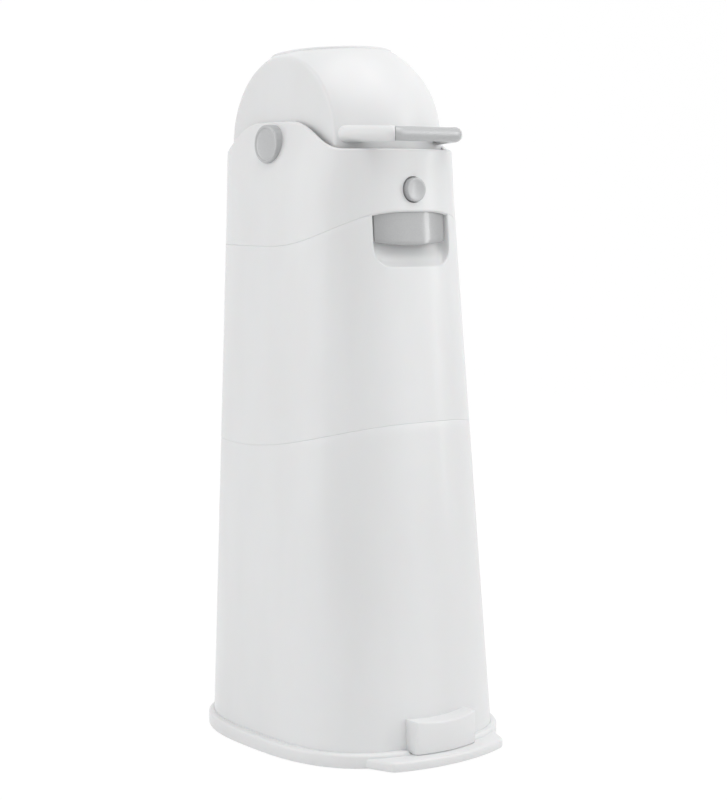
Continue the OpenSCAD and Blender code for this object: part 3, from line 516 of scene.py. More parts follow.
def makeFootBlock(s):
    half, e = s["width"] / 2, s["edge"]
    bowR, dipR = bowRadius(half, s["bow"]), bowRadius(half, s["dip"])
    front = frontAt(0, s["low"]) - s["deep"]
    def slice(x, tuck):
        z0 = s["low"] + tuck
        z1 = s["low"] + s["height"] - s["dip"] + dipR - math.sqrt(dipR ** 2 - x * x) - tuck
        y0 = front + bowR - math.sqrt(bowR ** 2 - x * x) + tuck
        loop = [(x, frontAt(x, z0) + s["lap"], z0)]
        loop += [(x, y0 + e - e * math.cos(a), z0 + e - e * math.sin(a)) for a in bends(90, 0, 3)]
        loop += [(x, y0 + e - e * math.cos(a), z1 - e + e * math.sin(a)) for a in bends(0, 90, 3)]
        return loop + [(x, frontAt(x, z1) + s["lap"], z1)]
    return skin("footBlock", [slice(x, tuck) for x, tuck in stations(half, e, 24)])


dress(makeBaseRing(baseSizes), "bin", "white_shell", "base_plate")
dress(makeFootPlate(plateSizes), "bin", "white_shell", "base_plate")
dress(makeFootBlock(blockSizes), "bin", "white_shell", "foot_block")
print("base made")


# bucket
bucketSizes = {"floor": 8.0, "floorT": 2.5, "edge": 0.4, "round": 0.8, "cornerIn": 1.2, "cornerUp": 4.0,
               "rows": (0.03, 0.12, 0.3, 0.5, 0.7, 0.88, 0.97)}


def makeBucket(s):
    wall, f, e = body["wall"], s["floor"], s["edge"]
    loops = [level(f, 3), level(f, s["round"]), level(f + s["round"], 0)]
    loops += [between(flatAt(f), lowSeam, part) for part in s["rows"]]
    loops += roundOver(e, lowSeam)
    loops += [along(lowSeam, wall - e), along(lowSeam, wall - 0.3, -0.3), along(lowSeam, wall, -e)]
    loops += [between(flatAt(f), lowSeam, part, wall) for part in reversed(s["rows"])]
    low = f + s["floorT"]
    loops += [level(low + s["cornerUp"], wall), level(low + s["cornerIn"], wall + s["cornerIn"]),
              level(low, wall + s["cornerUp"])]
    return skin("bucketShell", loops)


# finger recess: one moulded hollow, quick at the sides, with a long soft scoop at the foot
recessSizes = {"width": 91.0, "height": 53.4, "corner": 18.0, "deep": 13.5, "edge": 3.2, "scoop": 29.0,
               "flank": 8.0, "wall": 2.0, "across": 168, "up": 88, "margin": 1.5, "lap": 0.02, "over": 14,
               "below": 0.1, "sunk": 0.04}


def seamAt(x):   # height of the upper seam over a given width, on the front
    z = seamFrontZ
    for _ in range(10):
        z = highSeam(frontAt(x, z))
    return z


def recessEdge(s):   # half width, corner and foot of the recess's outer line
    return s["width"] / 2 + s["edge"], s["corner"] + s["edge"], seamFrontZ - s["height"] - s["edge"]


def recessInside(s, x, z):   # how far a place lies inside the outer line
    half, r, foot = recessEdge(s)
    sideways, down = abs(x) - half + r, foot + r - z
    return r - math.hypot(max(0, sideways), max(0, down)) - min(0, max(sideways, down))


def softStep(v):
    v = min(1.0, max(0.0, v))
    return v * v * (3 - 2 * v)


def hollow(v, reach, edge):   # quick over the edge, then levelling out
    part = min(1.0, max(0.0, v / reach))
    return (1 - (1 - part) ** 2.2) * softStep(v / edge)


def makeRecess(s):
    half, _, foot = recessEdge(s)
    half, foot = half + s["margin"], foot - s["margin"]
    back = frontAt(0, seamFrontZ) + s["deep"]
    points, count = [], s["across"] + 1
    for row in range(s["up"] + 1):
        for column in range(count):
            x = -half + 2 * half * column / s["across"]
            z = foot + (seamAt(x) - s["below"] - foot) * row / s["up"]
            side = hollow(recessInside(s, x, z), s["flank"], s["edge"])
            scoop = hollow(z - foot - s["margin"], s["scoop"], s["edge"])
            front = frontAt(x, z)
            points.append((x, front + s["sunk"] + (back - front) * side * scoop, z))
    faces = [(k * count + i, k * count + i + 1, (k + 1) * count + i + 1, (k + 1) * count + i)
             for k in range(s["up"]) for i in range(s["across"])]
    recess = makePiece("recessLining", points, faces, 70, closed=False)
    thick = recess.modifiers.new("thickness", "SOLIDIFY")
    thick.thickness, thick.offset = s["wall"] * mm, -1
    return freshMesh(recess)


def recessLine(s):   # the outer line, from one top end to the other
    half, r, foot = recessEdge(s)
    half, foot, top = half - s["lap"], foot + s["lap"], seamFrontZ + s["over"]
    turns = [(-1, math.pi + a) for a in bends(0, 90, 16)] + [(1, a) for a in bends(270, 360, 16)]
    line = [(hand * (half - r) + r * math.cos(a), foot + r + r * math.sin(a)) for hand, a in turns]
    return [(-half, top)] + line + [(half, top)]


# middle shell
middleSizes = {"edge": 0.4, "foot": 0.12, "lift": 0.05, "skirt": 14.0, "fit": 0.2, "bead": 6.0,
               "neckHigh": 10.0, "neckLow": 7.0, "step": 0.5, "cutFrom": -140, "cutTo": -78,
               "rows": (0.04, 0.15, 0.35, 0.55, 0.75, 0.9, 0.97)}


def makeMiddle(s):
    wall, e, f, lift = body["wall"], s["edge"], s["fit"], s["lift"]
    loops = [along(lowSeam, s["foot"], lift), along(lowSeam, 0, lift + s["foot"])]
    loops += [between(lowSeam, highSeam, part) for part in s["rows"]]
    loops += roundOver(e, highSeam)
    loops += [along(highSeam, 2 * wall - e), along(highSeam, 2 * wall - 0.3, -0.3), along(highSeam, 2 * wall, -e),
              along(highSeam, 2 * wall, -s["bead"]), along(highSeam, wall, -s["bead"] - wall)]
    loops += [between(lowSeam, highSeam, part, wall) for part in reversed(s["rows"][1:-1])]
    skirt = ((wall, s["neckHigh"]), (2 * wall + f, s["neckLow"]), (2 * wall + f, -s["skirt"]),
             (wall + f, -s["skirt"]), (wall + f, -s["step"]), (wall, lift))
    loops += [along(lowSeam, inset, shift) for inset, shift in skirt]
    shell = skin("middleShell", loops, ring=True)
    line = recessLine(recessSizes)
    return cutBy(shell, skin("recessCutter", [[(x, y, z) for x, z in line] for y in (s["cutFrom"], s["cutTo"])]))


dress(makeBucket(bucketSizes), "bin", "white_shell", "bucket")
dress(makeMiddle(middleSizes), "bin", "white_shell", "middle_shell")
dress(makeRecess(recessSizes), "bin", "white_shell", "middle_shell")
print("bucket and middle shell made")


# head with its button hole
headSizes = {"edge": 0.12, "lip": 2.1, "bead": 0.7, "sideBead": 1.8, "tuck": 0.93, "tuckLow": 1.6, "run": 4.0,
             "buttonUp": 20.3, "holeR": 13.0, "holeFront": 20.0, "holeBack": 8.0,
             "rows": (0.03, 0.1, 0.2, 0.32, 0.45, 0.58, 0.7, 0.8, 0.9, 0.96)}
buttonZ = seamFrontZ + headSizes["buttonUp"]
buttonY = frontAt(0, buttonZ)


def makeHead(s):
    wall, e, lip = body["wall"], s["edge"], s["lip"]
    def lowEdge(y): return highSeam(y) + seams["gap"]
    def rolled(share, drop):   # the rim is a rounded bead, fuller at the ears than in front and behind
        loop = []
        for t in columns:
            inset = (wall + s["bead"] + s["sideBead"] * math.cos(t) ** 2) * share
            loop.append(outline(meet(t, rimLine, inset) - drop, t, inset))
        return loop
    loops = [along(lowEdge, e), along(lowEdge, 0, e)]
    loops += [between(lowEdge, rimLine, part) for part in s["rows"]]
    loops += [rolled((1 - math.cos(a)) / 2, lip * (1 - math.sin(a))) for a in bends(0, 180, 14)]
    loops += [rolled(s["tuck"], lip + s["tuckLow"]), along(rimLine, wall, -lip - s["run"])]
    loops += [between(lowEdge, rimLine, part, wall) for part in reversed(s["rows"][:-2])]
    loops += [along(lowEdge, wall, e), along(lowEdge, wall - 0.4, 0.1)]
    shell = skin("headShell", loops, ring=True)
    hole, ends = circle(s["holeR"], 72), (-s["holeFront"], s["holeBack"])
    return cutBy(shell, skin("buttonCutter", [[(x, buttonY + y, buttonZ + z) for x, z in hole] for y in ends]))


# grey plate in the recess
gripPlate = {"width": 88.0, "show": 34.0, "inset": 4.0, "thick": 2.5, "arc": 3.6, "edge": 0.9, "top": 6.0}


def makeGripPlate(s):
    half, e, thick = s["width"] / 2, s["edge"], s["thick"]
    arcR = bowRadius(half, s["arc"])
    top = seamFrontZ + s["top"]
    def slice(x, tuck):
        low = seamFrontZ - s["show"] + arcR - math.sqrt(arcR ** 2 - x * x) + tuck
        rows = [low + e + (top - low - e) * k / 10 for k in range(11)]
        outer = [(x, frontAt(x, z) + s["inset"] + tuck, z) for z in rows]
        inner = [(x, frontAt(x, z) + s["inset"] + thick - tuck * 0.6, z) for z in reversed(rows)]
        foot = frontAt(x, low) + s["inset"]
        under = [(x, foot + thick - e * 0.3, low + e * 0.3), (x, foot + thick - e, low),
                 (x, foot + e + tuck * 0.4, low), (x, foot + e * 0.3 + tuck * 0.7, low + e * 0.3)]
        return outer + inner + under
    return skin("gripPlate", [slice(x, tuck) for x, tuck in stations(half, e, 40)])


dress(makeHead(headSizes), "head", "white_shell", "head_shell")
# the grip plate takes the darker silver copy, with its painted shade
dress(makeGripPlate(gripPlate), "head", "silver_plastic", "lift_grip", finish=plateFinishPaintedShade)
print("head made")


# lock button, turned about its travel
buttonSizes = {"r": 11.8, "proud": 5.5, "edge": 1.2, "dish": 0.8, "guide": 11.5, "lip": 1.5, "gap": 1 / 3,
               "flangeR": 12.8, "flangeT": 1.5, "stemR": 4.0, "stemProud": 0.6}


def makeButton(s):
    face = buttonY - s["proud"]
    skirt = buttonY + body["wall"] + s["lip"] + s["gap"] - face
    back = buttonY + body["wall"] + s["guide"] + s["stemProud"] - face
    r, e, flange = s["r"], s["edge"], skirt + s["flangeT"]
    profile = [(s["dish"], 0.4)] + [(s["dish"] * (1 - (k / 8) ** 2), (r - e - 0.8) * k / 8) for k in range(1, 9)]
    profile += [(e - e * math.cos(a), r - e + e * math.sin(a)) for a in bends(15, 90, 5)]
    profile += [(skirt - 0.3, r), (skirt, r), (skirt, s["flangeR"]), (flange, s["flangeR"]),
                (flange, s["stemR"]), (back - 0.4, s["stemR"]), (back, s["stemR"] - 0.4)]
    return skin("lockButton", turned(profile, 96, lambda p: (p[1], face + p[0], buttonZ + p[2])), sharpAbove=40)


# pivot caps, with a dished face
capSizes = {"r": 19.0, "seat": 77.5, "out": 88.7, "edge": 1.6, "dish": 0.9, "ringR": 15.6, "hollow": 2.5,
            "bevel": 0.3, "crown": 0.5}


def makeCap(s, hand):
    length = s["out"] - s["seat"]
    r, e, d = s["r"], s["edge"], s["dish"]
    faceR, crown = r - e - 2.1, s["crown"]
    profile = [(s["hollow"], 0.4), (s["hollow"], s["ringR"]), (0, s["ringR"]), (0, r - s["bevel"]), (s["bevel"], r)]
    profile += [(length - e, r)]
    profile += [(length - e + e * math.sin(a), r - e + e * math.cos(a)) for a in bends(18, 90, 4)]
    profile += [(length, r - e - 1.1), (length - d * 0.5, r - e - 1.5), (length - d, faceR)]
    profile += [(length - d - crown * (1 - (k / 8) ** 2), faceR * k / 8) for k in range(7, 0, -1)]
    profile += [(length - d - crown, 0.4)]
    loops = turned(profile, 128, lambda p: (hand * (s["seat"] + p[0]), pivotY + p[1], body["pivotZ"] + p[2]))
    return skin("pivotCap" + ("Right" if hand > 0 else "Left"), loops, sharpAbove=40)


dress(makeButton(buttonSizes), "button", "silver_plastic", "lock_button")
dress(makeCap(capSizes, 1), "head", "silver_plastic", "pivot_cap_right")
dress(makeCap(capSizes, -1), "head", "silver_plastic", "pivot_cap_left")
print("button and caps made")


# drum, about the pivot and a little tilted
drumSizes = {"r": 110.0, "half": 67.8, "dome": 3.6, "edge": 6.0, "tilt": 4.5, "flat": 90.8, "soft": 1.2, "bore": 60.2,
             "boreHalf": 130.0, "sides": 224}
tiltSin, tiltCos = math.sin(math.radians(drumSizes["tilt"])), math.cos(math.radians(drumSizes["tilt"]))


def atDrum(p):
    x, y, z = p
    return (x, pivotY + y * tiltCos + z * tiltSin, body["pivotZ"] - y * tiltSin + z * tiltCos)


def softLimit(v, limit, soft):   # flattens what passes the limit, with a soft bend
    a = abs(v)
    if a < limit - 12 * soft:
        return v
    return math.copysign(-soft * math.log(math.exp(-(a - limit) / soft) + 1) + limit, v)


def makeDrum(s):   # a ball cut by its two sides and by the planes of its mouths
    ball, e = s["r"], s["edge"]
    edgeX = s["half"] - e
    reach = math.sqrt((ball - e) ** 2 - edgeX ** 2)
    turn = math.degrees(math.atan2(edgeX, reach))
    radii = [1.0] + [reach * k / 20 for k in range(1, 20)]
    half = [(s["half"] + s["dome"] * (1 - (r / reach) ** 2) ** 3, r) for r in radii]
    half += [(edgeX + e * math.sin(a), reach + e * math.cos(a)) for a in bends(90, turn, 9)]
    half += [(ball * math.sin(a), ball * math.cos(a)) for a in bends(turn, 0, 16)[1:]]
    profile = half + [(-x, r) for x, r in reversed(half[:-1])]
    loops = turned(profile, s["sides"], lambda p: atDrum((p[0], p[1], softLimit(p[2], s["flat"], s["soft"]))))
    drum = skin("drumShell", loops, sharpAbove=60)
    bore, ends = circle(s["bore"], 120), (-s["boreHalf"], s["boreHalf"])
    return cutBy(drum, skin("tubeCutter", [[atDrum((x, y, z)) for x, y in bore] for z in ends]), 60)


# mouth rings and the tube between them
mouthSizes = {"outR": 61.4, "inR": 55.0, "flat": 88.5, "height": 4.3, "edge": 1.5, "skirtLow": 74.0, "skirtR": 61.2,
              "skirtT": 1.4}
tubeSizes = {"inR": 57.0, "outR": 59.5, "half": 88.5}
ringSides = 160


def upright(name, profile):   # profile of (radius, up) round the tube's axis
    loops = [[atDrum((x, y, z)) for x, y in circle(r, ringSides)] for r, z in profile]
    return skin(name, loops, ring=True, sharpAbove=40)


def makeMouth(s, hand):
    low, top, e = s["flat"], s["flat"] + s["height"], s["edge"]
    skirtIn = s["skirtR"] - s["skirtT"]
    profile = [(skirtIn, s["skirtLow"]), (s["skirtR"], s["skirtLow"]), (s["skirtR"], low), (s["outR"], low + 0.1)]
    profile += [(s["outR"] - e + e * math.cos(a), top - e + e * math.sin(a)) for a in bends(0, 90, 6)]
    profile += [(s["inR"] + e - e * math.sin(a), top - e + e * math.cos(a)) for a in bends(0, 90, 6)]
    profile += [(s["inR"], low + 0.4), (s["inR"] + 0.4, low), (skirtIn, low)]
    return upright("mouthRing" + ("Upper" if hand > 0 else "Lower"), [(r, hand * z) for r, z in profile])


def makeTube(s):
    half = s["half"]
    profile = [(s["inR"], -half), (s["outR"], -half), (s["outR"], half), (s["inR"], half)]
    return upright("drumTube", profile + [(s["inR"], half * (1 - k / 4)) for k in range(1, 8)])


# handle: two arms from the drum and the grip between them
handleSizes = {"reach": 143.5, "rise": 1.2, "gripHalf": 33.5, "gripR": 7.0, "armR": 7.5, "rootR": 8.8, "rootY": 91.0,
               "bend": 7.5, "turn": 71.0, "gripTurn": 34.0}


def atHandle(x, y, z):   # level at rest, from the roots on the drum
    h = handleSizes
    out = y + h["rootY"] - h["reach"]
    return atDrum((x, out * tiltCos - z * tiltSin - h["rootY"], out * tiltSin + z * tiltCos + h["rise"]))


def sweep(name, path, sides=40):   # path of (x, y, radius), y from the grip's axis towards the drum
    loops = []
    for i, (x, y, r) in enumerate(path):
        a, b = path[max(0, i - 1)], path[min(len(path) - 1, i + 1)]
        side = Vector((a[1] - b[1], b[0] - a[0])).normalized()
        loops.append([atHandle(x + side.x * across, y + side.y * across, up) for across, up in circle(r, sides)])
    return skin(name, loops, sharpAbove=50)


def onBend(s, a):
    return s["gripHalf"] + s["bend"] * math.sin(a), s["bend"] * (1 - math.cos(a))


def makeArm(s, hand):   # from the grip's end round the bend, then widening to its root
    turn, r, start = math.radians(s["turn"]), s["armR"], math.radians(s["gripTurn"])
    ends = ((0.05, 0.7), (0.2, 0.25), (0.5, 0))
    path = [(*onBend(s, start + off / s["bend"]), r - less) for off, less in ends]
    path += [(*onBend(s, start + (turn - start) * k / 10), r) for k in range(2, 11)]
    x, y, _ = path[-1]
    length = (s["reach"] - s["rootY"] - y) / math.sin(turn)
    steps = [(length * k / 12, r + (s["rootR"] - r) * k / 12) for k in range(1, 13)]
    steps += [(length + s["rootR"] * math.sin(a), s["rootR"] * math.cos(a)) for a in bends(14, 84, 5)]
    path += [(x + far * math.cos(turn), y + far * math.sin(turn), radius) for far, radius in steps]
    return sweep("handleArm" + ("Right" if hand > 0 else "Left"), [(hand * px, py, pr) for px, py, pr in path])


def makeGrip(s):   # straight, then a little way into each bend
    r, last = s["gripR"], math.radians(s["gripTurn"])
    ends = ((0.5, 0.05), (0.15, 0.25), (0.05, 0.6))
    half = [(s["gripHalf"] * k / 8, 0, r) for k in range(8)] + [(*onBend(s, last * k / 9), r) for k in range(9)]
    half += [(*onBend(s, last - off / s["bend"]), r - less) for off, less in ends]
    return sweep("handleGrip", [(-x, y, rim) for x, y, rim in reversed(half[1:])] + half, 48)


dress(makeDrum(drumSizes), "drum", "white_shell", "drum_shell")
dress(makeMouth(mouthSizes, 1), "drum", "white_shell", "mouth_ring_upper")
dress(makeMouth(mouthSizes, -1), "drum", "white_shell", "mouth_ring_lower")
dress(makeTube(tubeSizes), "drum", "inner_plastic", "drum_tube")
dress(makeArm(handleSizes, -1), "drum", "white_shell", "handle_bow")
dress(makeArm(handleSizes, 1), "drum", "white_shell", "handle_bow")
dress(makeGrip(handleSizes), "drum", "silver_plastic", "handle_grip")
print("drum and handle made")


# Geometry Nodes trees that set out what repeats
def openTree(name, sockets):   # a modifier's tree with named inputs
    tree = bpy.data.node_groups.new(name, "GeometryNodeTree")
    tree.is_modifier = True
    for label, kind in (("Geometry", "Geometry"), *sockets, ("Finish", "Material")):
        tree.interface.new_socket(label, in_out="INPUT", socket_type="NodeSocket" + kind)
    tree.interface.new_socket("Geometry", in_out="OUTPUT", socket_type="NodeSocketGeometry")
    bench = Bench(tree)
    return tree, bench, lambda label: bench.add("NodeGroupInput", out=label)


def closeTree(bench, given, result):
    whole = bench.add("GeometryNodeRealizeInstances", {}, {"Geometry": result})
    whole = bench.add("GeometryNodeSetMaterial", {}, {"Geometry": whole, "Material": given("Finish")})
    bench.add("NodeGroupOutput", {}, {"Geometry": whole})


def makeSpotTree():   # one part on every point of a mesh
    tree, bench, given = openTree("partOnSpots", [("Part", "Object"), ("Turn", "Vector")])
    part = bench.add("GeometryNodeObjectInfo", {}, {"Object": given("Part")}, "Geometry")
    turn = bench.add("FunctionNodeEulerToRotation", {}, {"Euler": given("Turn")})
    spots = bench.add("GeometryNodeMeshToPoints", {}, {"Mesh": given("Geometry")})
    parts = bench.add("GeometryNodeInstanceOnPoints", {}, {"Points": spots, "Instance": part, "Rotation": turn})
    closeTree(bench, given, parts)
    return tree


def makeRowTree():   # one part along a straight row
    tree, bench, given = openTree("partInRow", [("Part", "Object"), ("Count", "Int"), ("Start", "Vector"),
                                                ("Step", "Vector")])
    part = bench.add("GeometryNodeObjectInfo", {}, {"Object": given("Part")}, "Geometry")
    row = bench.add("GeometryNodeMeshLine", {"mode": "OFFSET"},
                    {"Count": given("Count"), "Start Location": given("Start"), "Offset": given("Step")})
    closeTree(bench, given, bench.add("GeometryNodeInstanceOnPoints", {}, {"Points": row, "Instance": part}))
    return tree


def makeRibTree():   # a rib of one section along every edge of a mesh
    tree, bench, given = openTree("ribsOnLines", [("Thick", "Float"), ("High", "Float")])
    lines = bench.add("GeometryNodeMeshToCurve", {}, {"Mesh": given("Geometry")})
    lines = bench.add("GeometryNodeSetCurveNormal", {"mode": "Z_UP"}, {"Curve": lines})
    section = bench.add("GeometryNodeCurvePrimitiveQuadrilateral", {"mode": "RECTANGLE"},
                        {"Width": given("Thick"), "Height": given("High")})
    ribs = bench.add("GeometryNodeCurveToMesh", {}, {"Curve": lines, "Profile Curve": section, "Fill Caps": True})
    closeTree(bench, given, ribs)
    return tree


def grow(name, tree, points, edges, slotName, values):   # runs a tree and keeps its result as plain mesh
    mesh = bpy.data.meshes.new(name)
    mesh.from_pydata([Vector(p) * mm for p in points], edges, [])
    piece = bpy.data.objects.new(name, mesh)
    bpy.context.scene.collection.objects.link(piece)
    nodes = piece.modifiers.new("nodes", "NODES")
    nodes.node_group = tree
    values["Finish"] = finishes[slotName]
    for item in tree.interface.items_tree:
        if item.in_out == "INPUT" and item.name in values:
            nodes[item.identifier] = values[item.name]
    freshMesh(piece)
    piece.data.set_sharp_from_angle(angle=math.radians(35))
    return piece


def growParts(name, tree, pattern, points, slotName, values):   # the pattern itself isn't kept
    piece = grow(name, tree, points, [], slotName, dict(values, Part=pattern))
    bpy.data.objects.remove(pattern)
    return piece


def standing(name, profile, sides):   # profile of (radius, up) round the z axis
    return skin(name, [[(x, y, z) for x, y in circle(r, sides)] for r, z in profile])


spotTree, rowTree, ribTree = makeSpotTree(), makeRowTree(), makeRibTree()

# ribs and bosses under the base
ribSizes = {"pitch": 46.0, "thick": 3.0, "low": 1.0, "high": 5.7, "inset": 4.6}
padBoss = {"r": 12.0, "holeR": 9.3, "deep": 2.2}
screwBoss = {"r": 6.2, "holeR": 3.5, "deep": 2.2}
padSpots = [(-80, -80), (80, -80), (-80, 105), (80, 105), (-48, -136), (48, -136)]
baseScrewSpots = [(-62, -50), (62, -50), (-62, 90), (62, 90)]


def ribLines(s):   # where the ribs run, cut to the pocket
    points = []
    z, cy = (s["low"] + s["high"]) / 2, middleY(1)
    halfX, halfY = halfW(1) - s["inset"], halfD(1) - s["inset"]
    for at in [(k + 0.5) * s["pitch"] for k in range(-3, 3)]:
        acrossX, acrossY = abs(at) / halfX, abs(at - cy) / halfY
        if acrossX < 0.95:
            long = halfY * (1 - acrossX ** 3) ** (1 / 3)
            points += [(at, cy - long, z), (at, cy + long, z)]
        if acrossY < 0.95:
            long = halfX * (1 - acrossY ** 3) ** (1 / 3)
            points += [(-long, at, z), (long, at, z)]
    return points, [(k, k + 1) for k in range(0, len(points), 2)]


def makeBoss(s, low, high):   # with the pocket for its pad or screw
    roof = low + s["deep"]
    profile = [(0.05, roof), (s["holeR"], roof), (s["holeR"], low), (s["r"], low), (s["r"], high), (0.05, high)]
    return standing("bossPattern", profile, 48)


def setBosses(name, spots, s):
    pattern = makeBoss(s, ribSizes["low"], ribSizes["high"])
    bosses = growParts(name, spotTree, pattern, [(x, y, 0) for x, y in spots], "white_shell", {"Turn": (0, 0, 0)})
    dress(bosses, "bin", "white_shell", "base_plate")


ribs = grow("baseRibs", ribTree, *ribLines(ribSizes), "white_shell",
            {"Thick": ribSizes["thick"] * mm, "High": (ribSizes["high"] - ribSizes["low"]) * mm})
dress(ribs, "bin", "white_shell", "base_plate")
setBosses("padBosses", padSpots, padBoss)
setBosses("screwBosses", baseScrewSpots, screwBoss)

# screws
screwSizes = {"shank": 1.5, "head": 3.2, "rise": 2.0, "tip": 0.4, "cross": 0.55, "reach": 1.9, "deep": 1.2,
              "baseLong": 12.0, "hingeLong": 9.0, "baseZ": 3.1}
hingeSizes = {"y": 153.5, "z": 504.0, "r": 6.0, "pin": 2.6, "pitch": 18.0, "gap": 0.4, "leafH": 20.0, "leafT": 2.5,
              "off": 6.5, "half": 45.0, "corner": 3.0, "edge": 0.7, "screwAt": 31.5, "sunk": 0.6}


def makeScrew(s, length):   # pan head at z = 0 with a cross recess, shank downwards
    head, rise, shank = s["head"], s["rise"], s["shank"]
    profile = [(0.05, rise)] + [(head * math.sin(a), rise * math.cos(a) ** 0.7) for a in bends(12, 84, 6)]
    profile += [(head, 0.15), (head - 0.15, 0), (shank, 0), (shank, 1 - length), (s["tip"], -length), (0.05, -length)]
    screw = standing("screwPattern", profile, 32)
    a, b = s["reach"], s["cross"]
    plan = [(a, -b), (a, b), (b, b), (b, a), (-b, a), (-b, b), (-a, b), (-a, -b), (-b, -b), (-b, -a), (b, -a), (b, -b)]
    ends = ((0.6, rise - s["deep"]), (1.3, rise + 1))
    return cutBy(screw, skin("cross", [[(x * wide, y * wide, z) for x, y in plan] for wide, z in ends]))


def setScrews(name, body, node, length, turn, spots):
    screws = growParts(name, spotTree, makeScrew(screwSizes, length), spots, "steel", {"Turn": turn})
    dress(screws, body, "steel", node)


def backSpots(s, side):   # on the hinge's leaves
    z = s["z"] + side * (s["off"] + s["leafH"] / 2)
    return [(x * s["screwAt"], body["backY"] + s["leafT"], z) for x in (-1, 0, 1)]


headDown, headBack = (math.pi, 0, 0), (-math.pi / 2, 0, 0)
baseLong, hingeLong = screwSizes["baseLong"], screwSizes["hingeLong"]
baseSpots = [(x, y, screwSizes["baseZ"]) for x, y in baseScrewSpots]
setScrews("baseScrewSet", "bin", "base_screws", baseLong, headDown, baseSpots)
setScrews("bracketScrewSet", "bin", "bracket_screws", hingeLong, headBack, backSpots(hingeSizes, -1))
setScrews("leafScrewSet", "head", "leaf_screws", hingeLong, headBack, backSpots(hingeSizes, 1))


# rear hinge; side is 1 for the upper leaf, on the head
def makeKnuckle(s, side):   # one knuckle with the web that joins it to its leaf
    y, z, r, out, long = s["y"], s["z"], s["r"], body["backY"] + s["leafT"], s["pitch"] - s["gap"]
    plan = [(y + r * math.cos(a), z + side * -r * math.sin(a)) for a in bends(0, 180, 20)]
    plan += [(y - r, z + side * (s["off"] + 1.5)), (out, z + side * (s["off"] + 1.5)),
             (out, z + side * (s["off"] - 2)), (y + r, z + side * 1.5)]
    steps = [(0, 0.4), (0.4, 0), (long - 0.4, 0), (long, 0.4)]
    centre = Vector((y, z))
    loops = [[(x, *(Vector(p) + (centre - Vector(p)).normalized() * tuck)) for p in plan] for x, tuck in steps]
    knuckle = skin("knucklePattern", loops)
    hole = circle(s["pin"], 32)
    return cutBy(knuckle, skin("pinHole", [[(x, y + dy, z + dz) for dy, dz in hole] for x in (-1, long + 1)]))


def makeLeaf(s, side):   # flat on the back wall
    low, high = sorted((s["z"] + side * s["off"], s["z"] + side * (s["off"] + s["leafH"])))
    r, half, e, thick = s["corner"], s["half"], s["edge"], s["leafT"]
    corners = [(1, high - r, 0), (-1, high - r, 90), (-1, low + r, 180), (1, low + r, 270)]
    plan = [(hand * (half - r) + r * math.cos(a), z + r * math.sin(a))
            for hand, z, start in corners for a in bends(start, start + 90, 6)]
    steps = [(-s["sunk"], 0), (thick - e, 0), (thick - e * 0.3, e * 0.3), (thick, e)]
    middle = (low + high) / 2
    loops = [[(x * (1 - tuck / half), body["backY"] + deep, middle + (z - middle) * (1 - tuck / (high - middle)))
              for x, z in plan] for deep, tuck in steps]
    return skin("hingeLeaf" + ("Upper" if side > 0 else "Lower"), loops)


def setKnuckles(s, side, first, count, body, node):
    start = ((-s["half"] + first * s["pitch"] + s["gap"] / 2) * mm, 0, 0)
    row = growParts("knuckles" + ("Upper" if side > 0 else "Lower"), rowTree, makeKnuckle(s, side), [(0, 0, 0)],
                    "white_shell", {"Count": count, "Start": start, "Step": (2 * s["pitch"] * mm, 0, 0)})
    dress(row, body, "white_shell", node)
    dress(makeLeaf(s, side), body, "white_shell", node)


setKnuckles(hingeSizes, -1, 0, 3, "bin", "hinge_bracket")
setKnuckles(hingeSizes, 1, 1, 2, "head", "hinge_leaf")
print("screws, ribs and knuckles set out")

# pieces that stay as the frame has them get their finish
for name, node in frame["nodes"].items():
    node.data.materials.clear()
    node.data.materials.append(finishes[slotOf[name]])
print("frame's own pieces finished")

# floor, backdrop and light
studio = {"floorShade": 0.82, "floorGlow": 0.9, "glowStrength": 1.05, "world": 0.61,
          "reach": 6.0, "behind": 2.2, "bend": 1.2, "rise": 5.0}
lamps = {"keyLamp": {"place": (1.9, -2.6, 1.8), "aim": (0, 0, 0.4), "size": (2.6, 2.6), "power": 13.0},
         "fillLamp": {"place": (-2.9, 1.2, 1.2), "aim": (0, 0, 0.35), "size": (2.6, 2.4), "power": 27.0},
         "topLamp": {"place": (0.2, -0.9, 3.0), "aim": (0, 0, 0.4), "size": (2.4, 2.4), "power": 30.0},
         "stripLamp": {"place": (2.05, -2.0, 1.0), "aim": (0, 0, 0.4), "size": (0.22, 1.9), "power": 9.5}}


def seenBy(bench):   # 1 for rays that show the backdrop, 0 for rays that light the object
    seen = [bench.add("ShaderNodeLightPath", out="Is " + way + " Ray") for way in ("Camera", "Glossy", "Transmission")]
    return seen[0].atLeast(seen[1]).atLeast(seen[2])


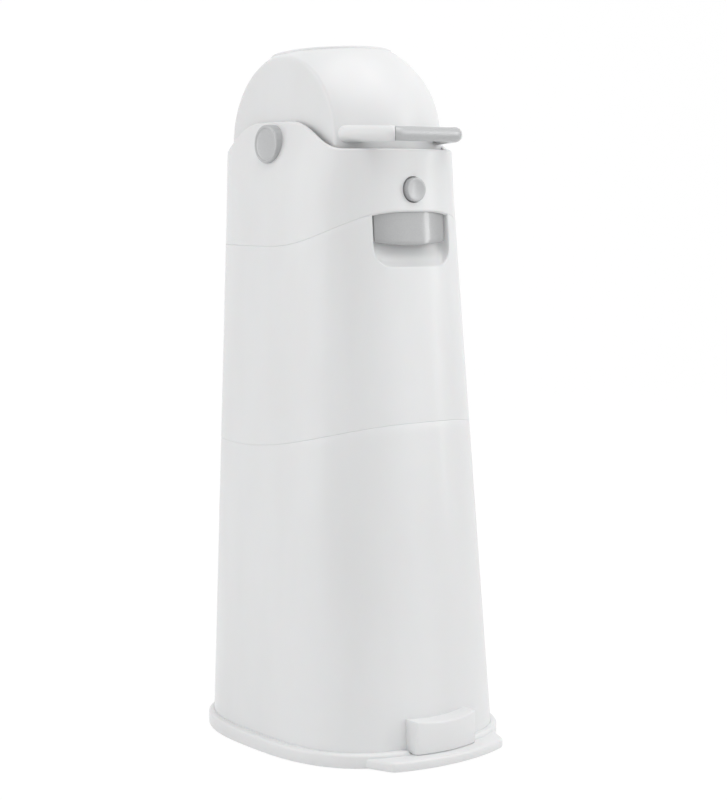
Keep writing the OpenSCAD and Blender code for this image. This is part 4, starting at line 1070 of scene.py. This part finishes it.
def makeStage(s):
    back, bend, reach = s["behind"], s["bend"], s["reach"]
    rows = [(-reach, 0.0), (back, 0.0)]
    rows += [(back + bend * math.sin(a), bend * (1 - math.cos(a))) for a in bends(10, 90, 8)]
    rows += [(back + bend, s["rise"])]
    points = [(x, y, z) for y, z in rows for x in (-reach, reach)]
    faces = [(2 * k, 2 * k + 1, 2 * k + 3, 2 * k + 2) for k in range(len(rows) - 1)]
    mesh = bpy.data.meshes.new("studioFloor")
    mesh.from_pydata(points, [], faces)
    mesh.shade_smooth()
    floor = bpy.data.objects.new("studioFloor", mesh)
    bpy.context.scene.collection.objects.link(floor)
    material = bpy.data.materials.new("studioPaper")
    bench = openBench(material)
    paper = bench.add("ShaderNodeBsdfDiffuse", {}, {"Color": rgb(s["floorShade"])})
    glow = bench.add("ShaderNodeEmission", {}, {"Color": rgb(1.0), "Strength": s["glowStrength"]})
    mixed = bench.add("ShaderNodeMixShader", {}, {0: seenBy(bench) * s["floorGlow"], 1: paper, 2: glow})
    bench.add("ShaderNodeOutputMaterial", {}, {"Surface": mixed})
    mesh.materials.append(material)


def makeWorld(s):
    world = bpy.data.worlds.new("studioWorld")
    bpy.context.scene.world = world
    bench = openBench(world)
    room = bench.add("ShaderNodeBackground", {}, {"Color": rgb(1.0), "Strength": s["world"]})
    white = bench.add("ShaderNodeBackground", {}, {"Color": rgb(1.0), "Strength": 1.0})
    mixed = bench.add("ShaderNodeMixShader", {}, {0: seenBy(bench), 1: room, 2: white})
    bench.add("ShaderNodeOutputWorld", {}, {"Surface": mixed})


def makeLight(name, s):
    data = bpy.data.lights.new(name, "AREA")
    data.shape, data.energy = "RECTANGLE", s["power"]
    data.size, data.size_y = s["size"]
    lamp = bpy.data.objects.new(name, data)
    lamp.location = s["place"]
    lamp.rotation_euler = (Vector(s["aim"]) - Vector(s["place"])).to_track_quat("-Z", "Y").to_euler()
    bpy.context.scene.collection.objects.link(lamp)


makeStage(studio)
makeWorld(studio)
for name, lamp in lamps.items():
    makeLight(name, lamp)
print("studio made")
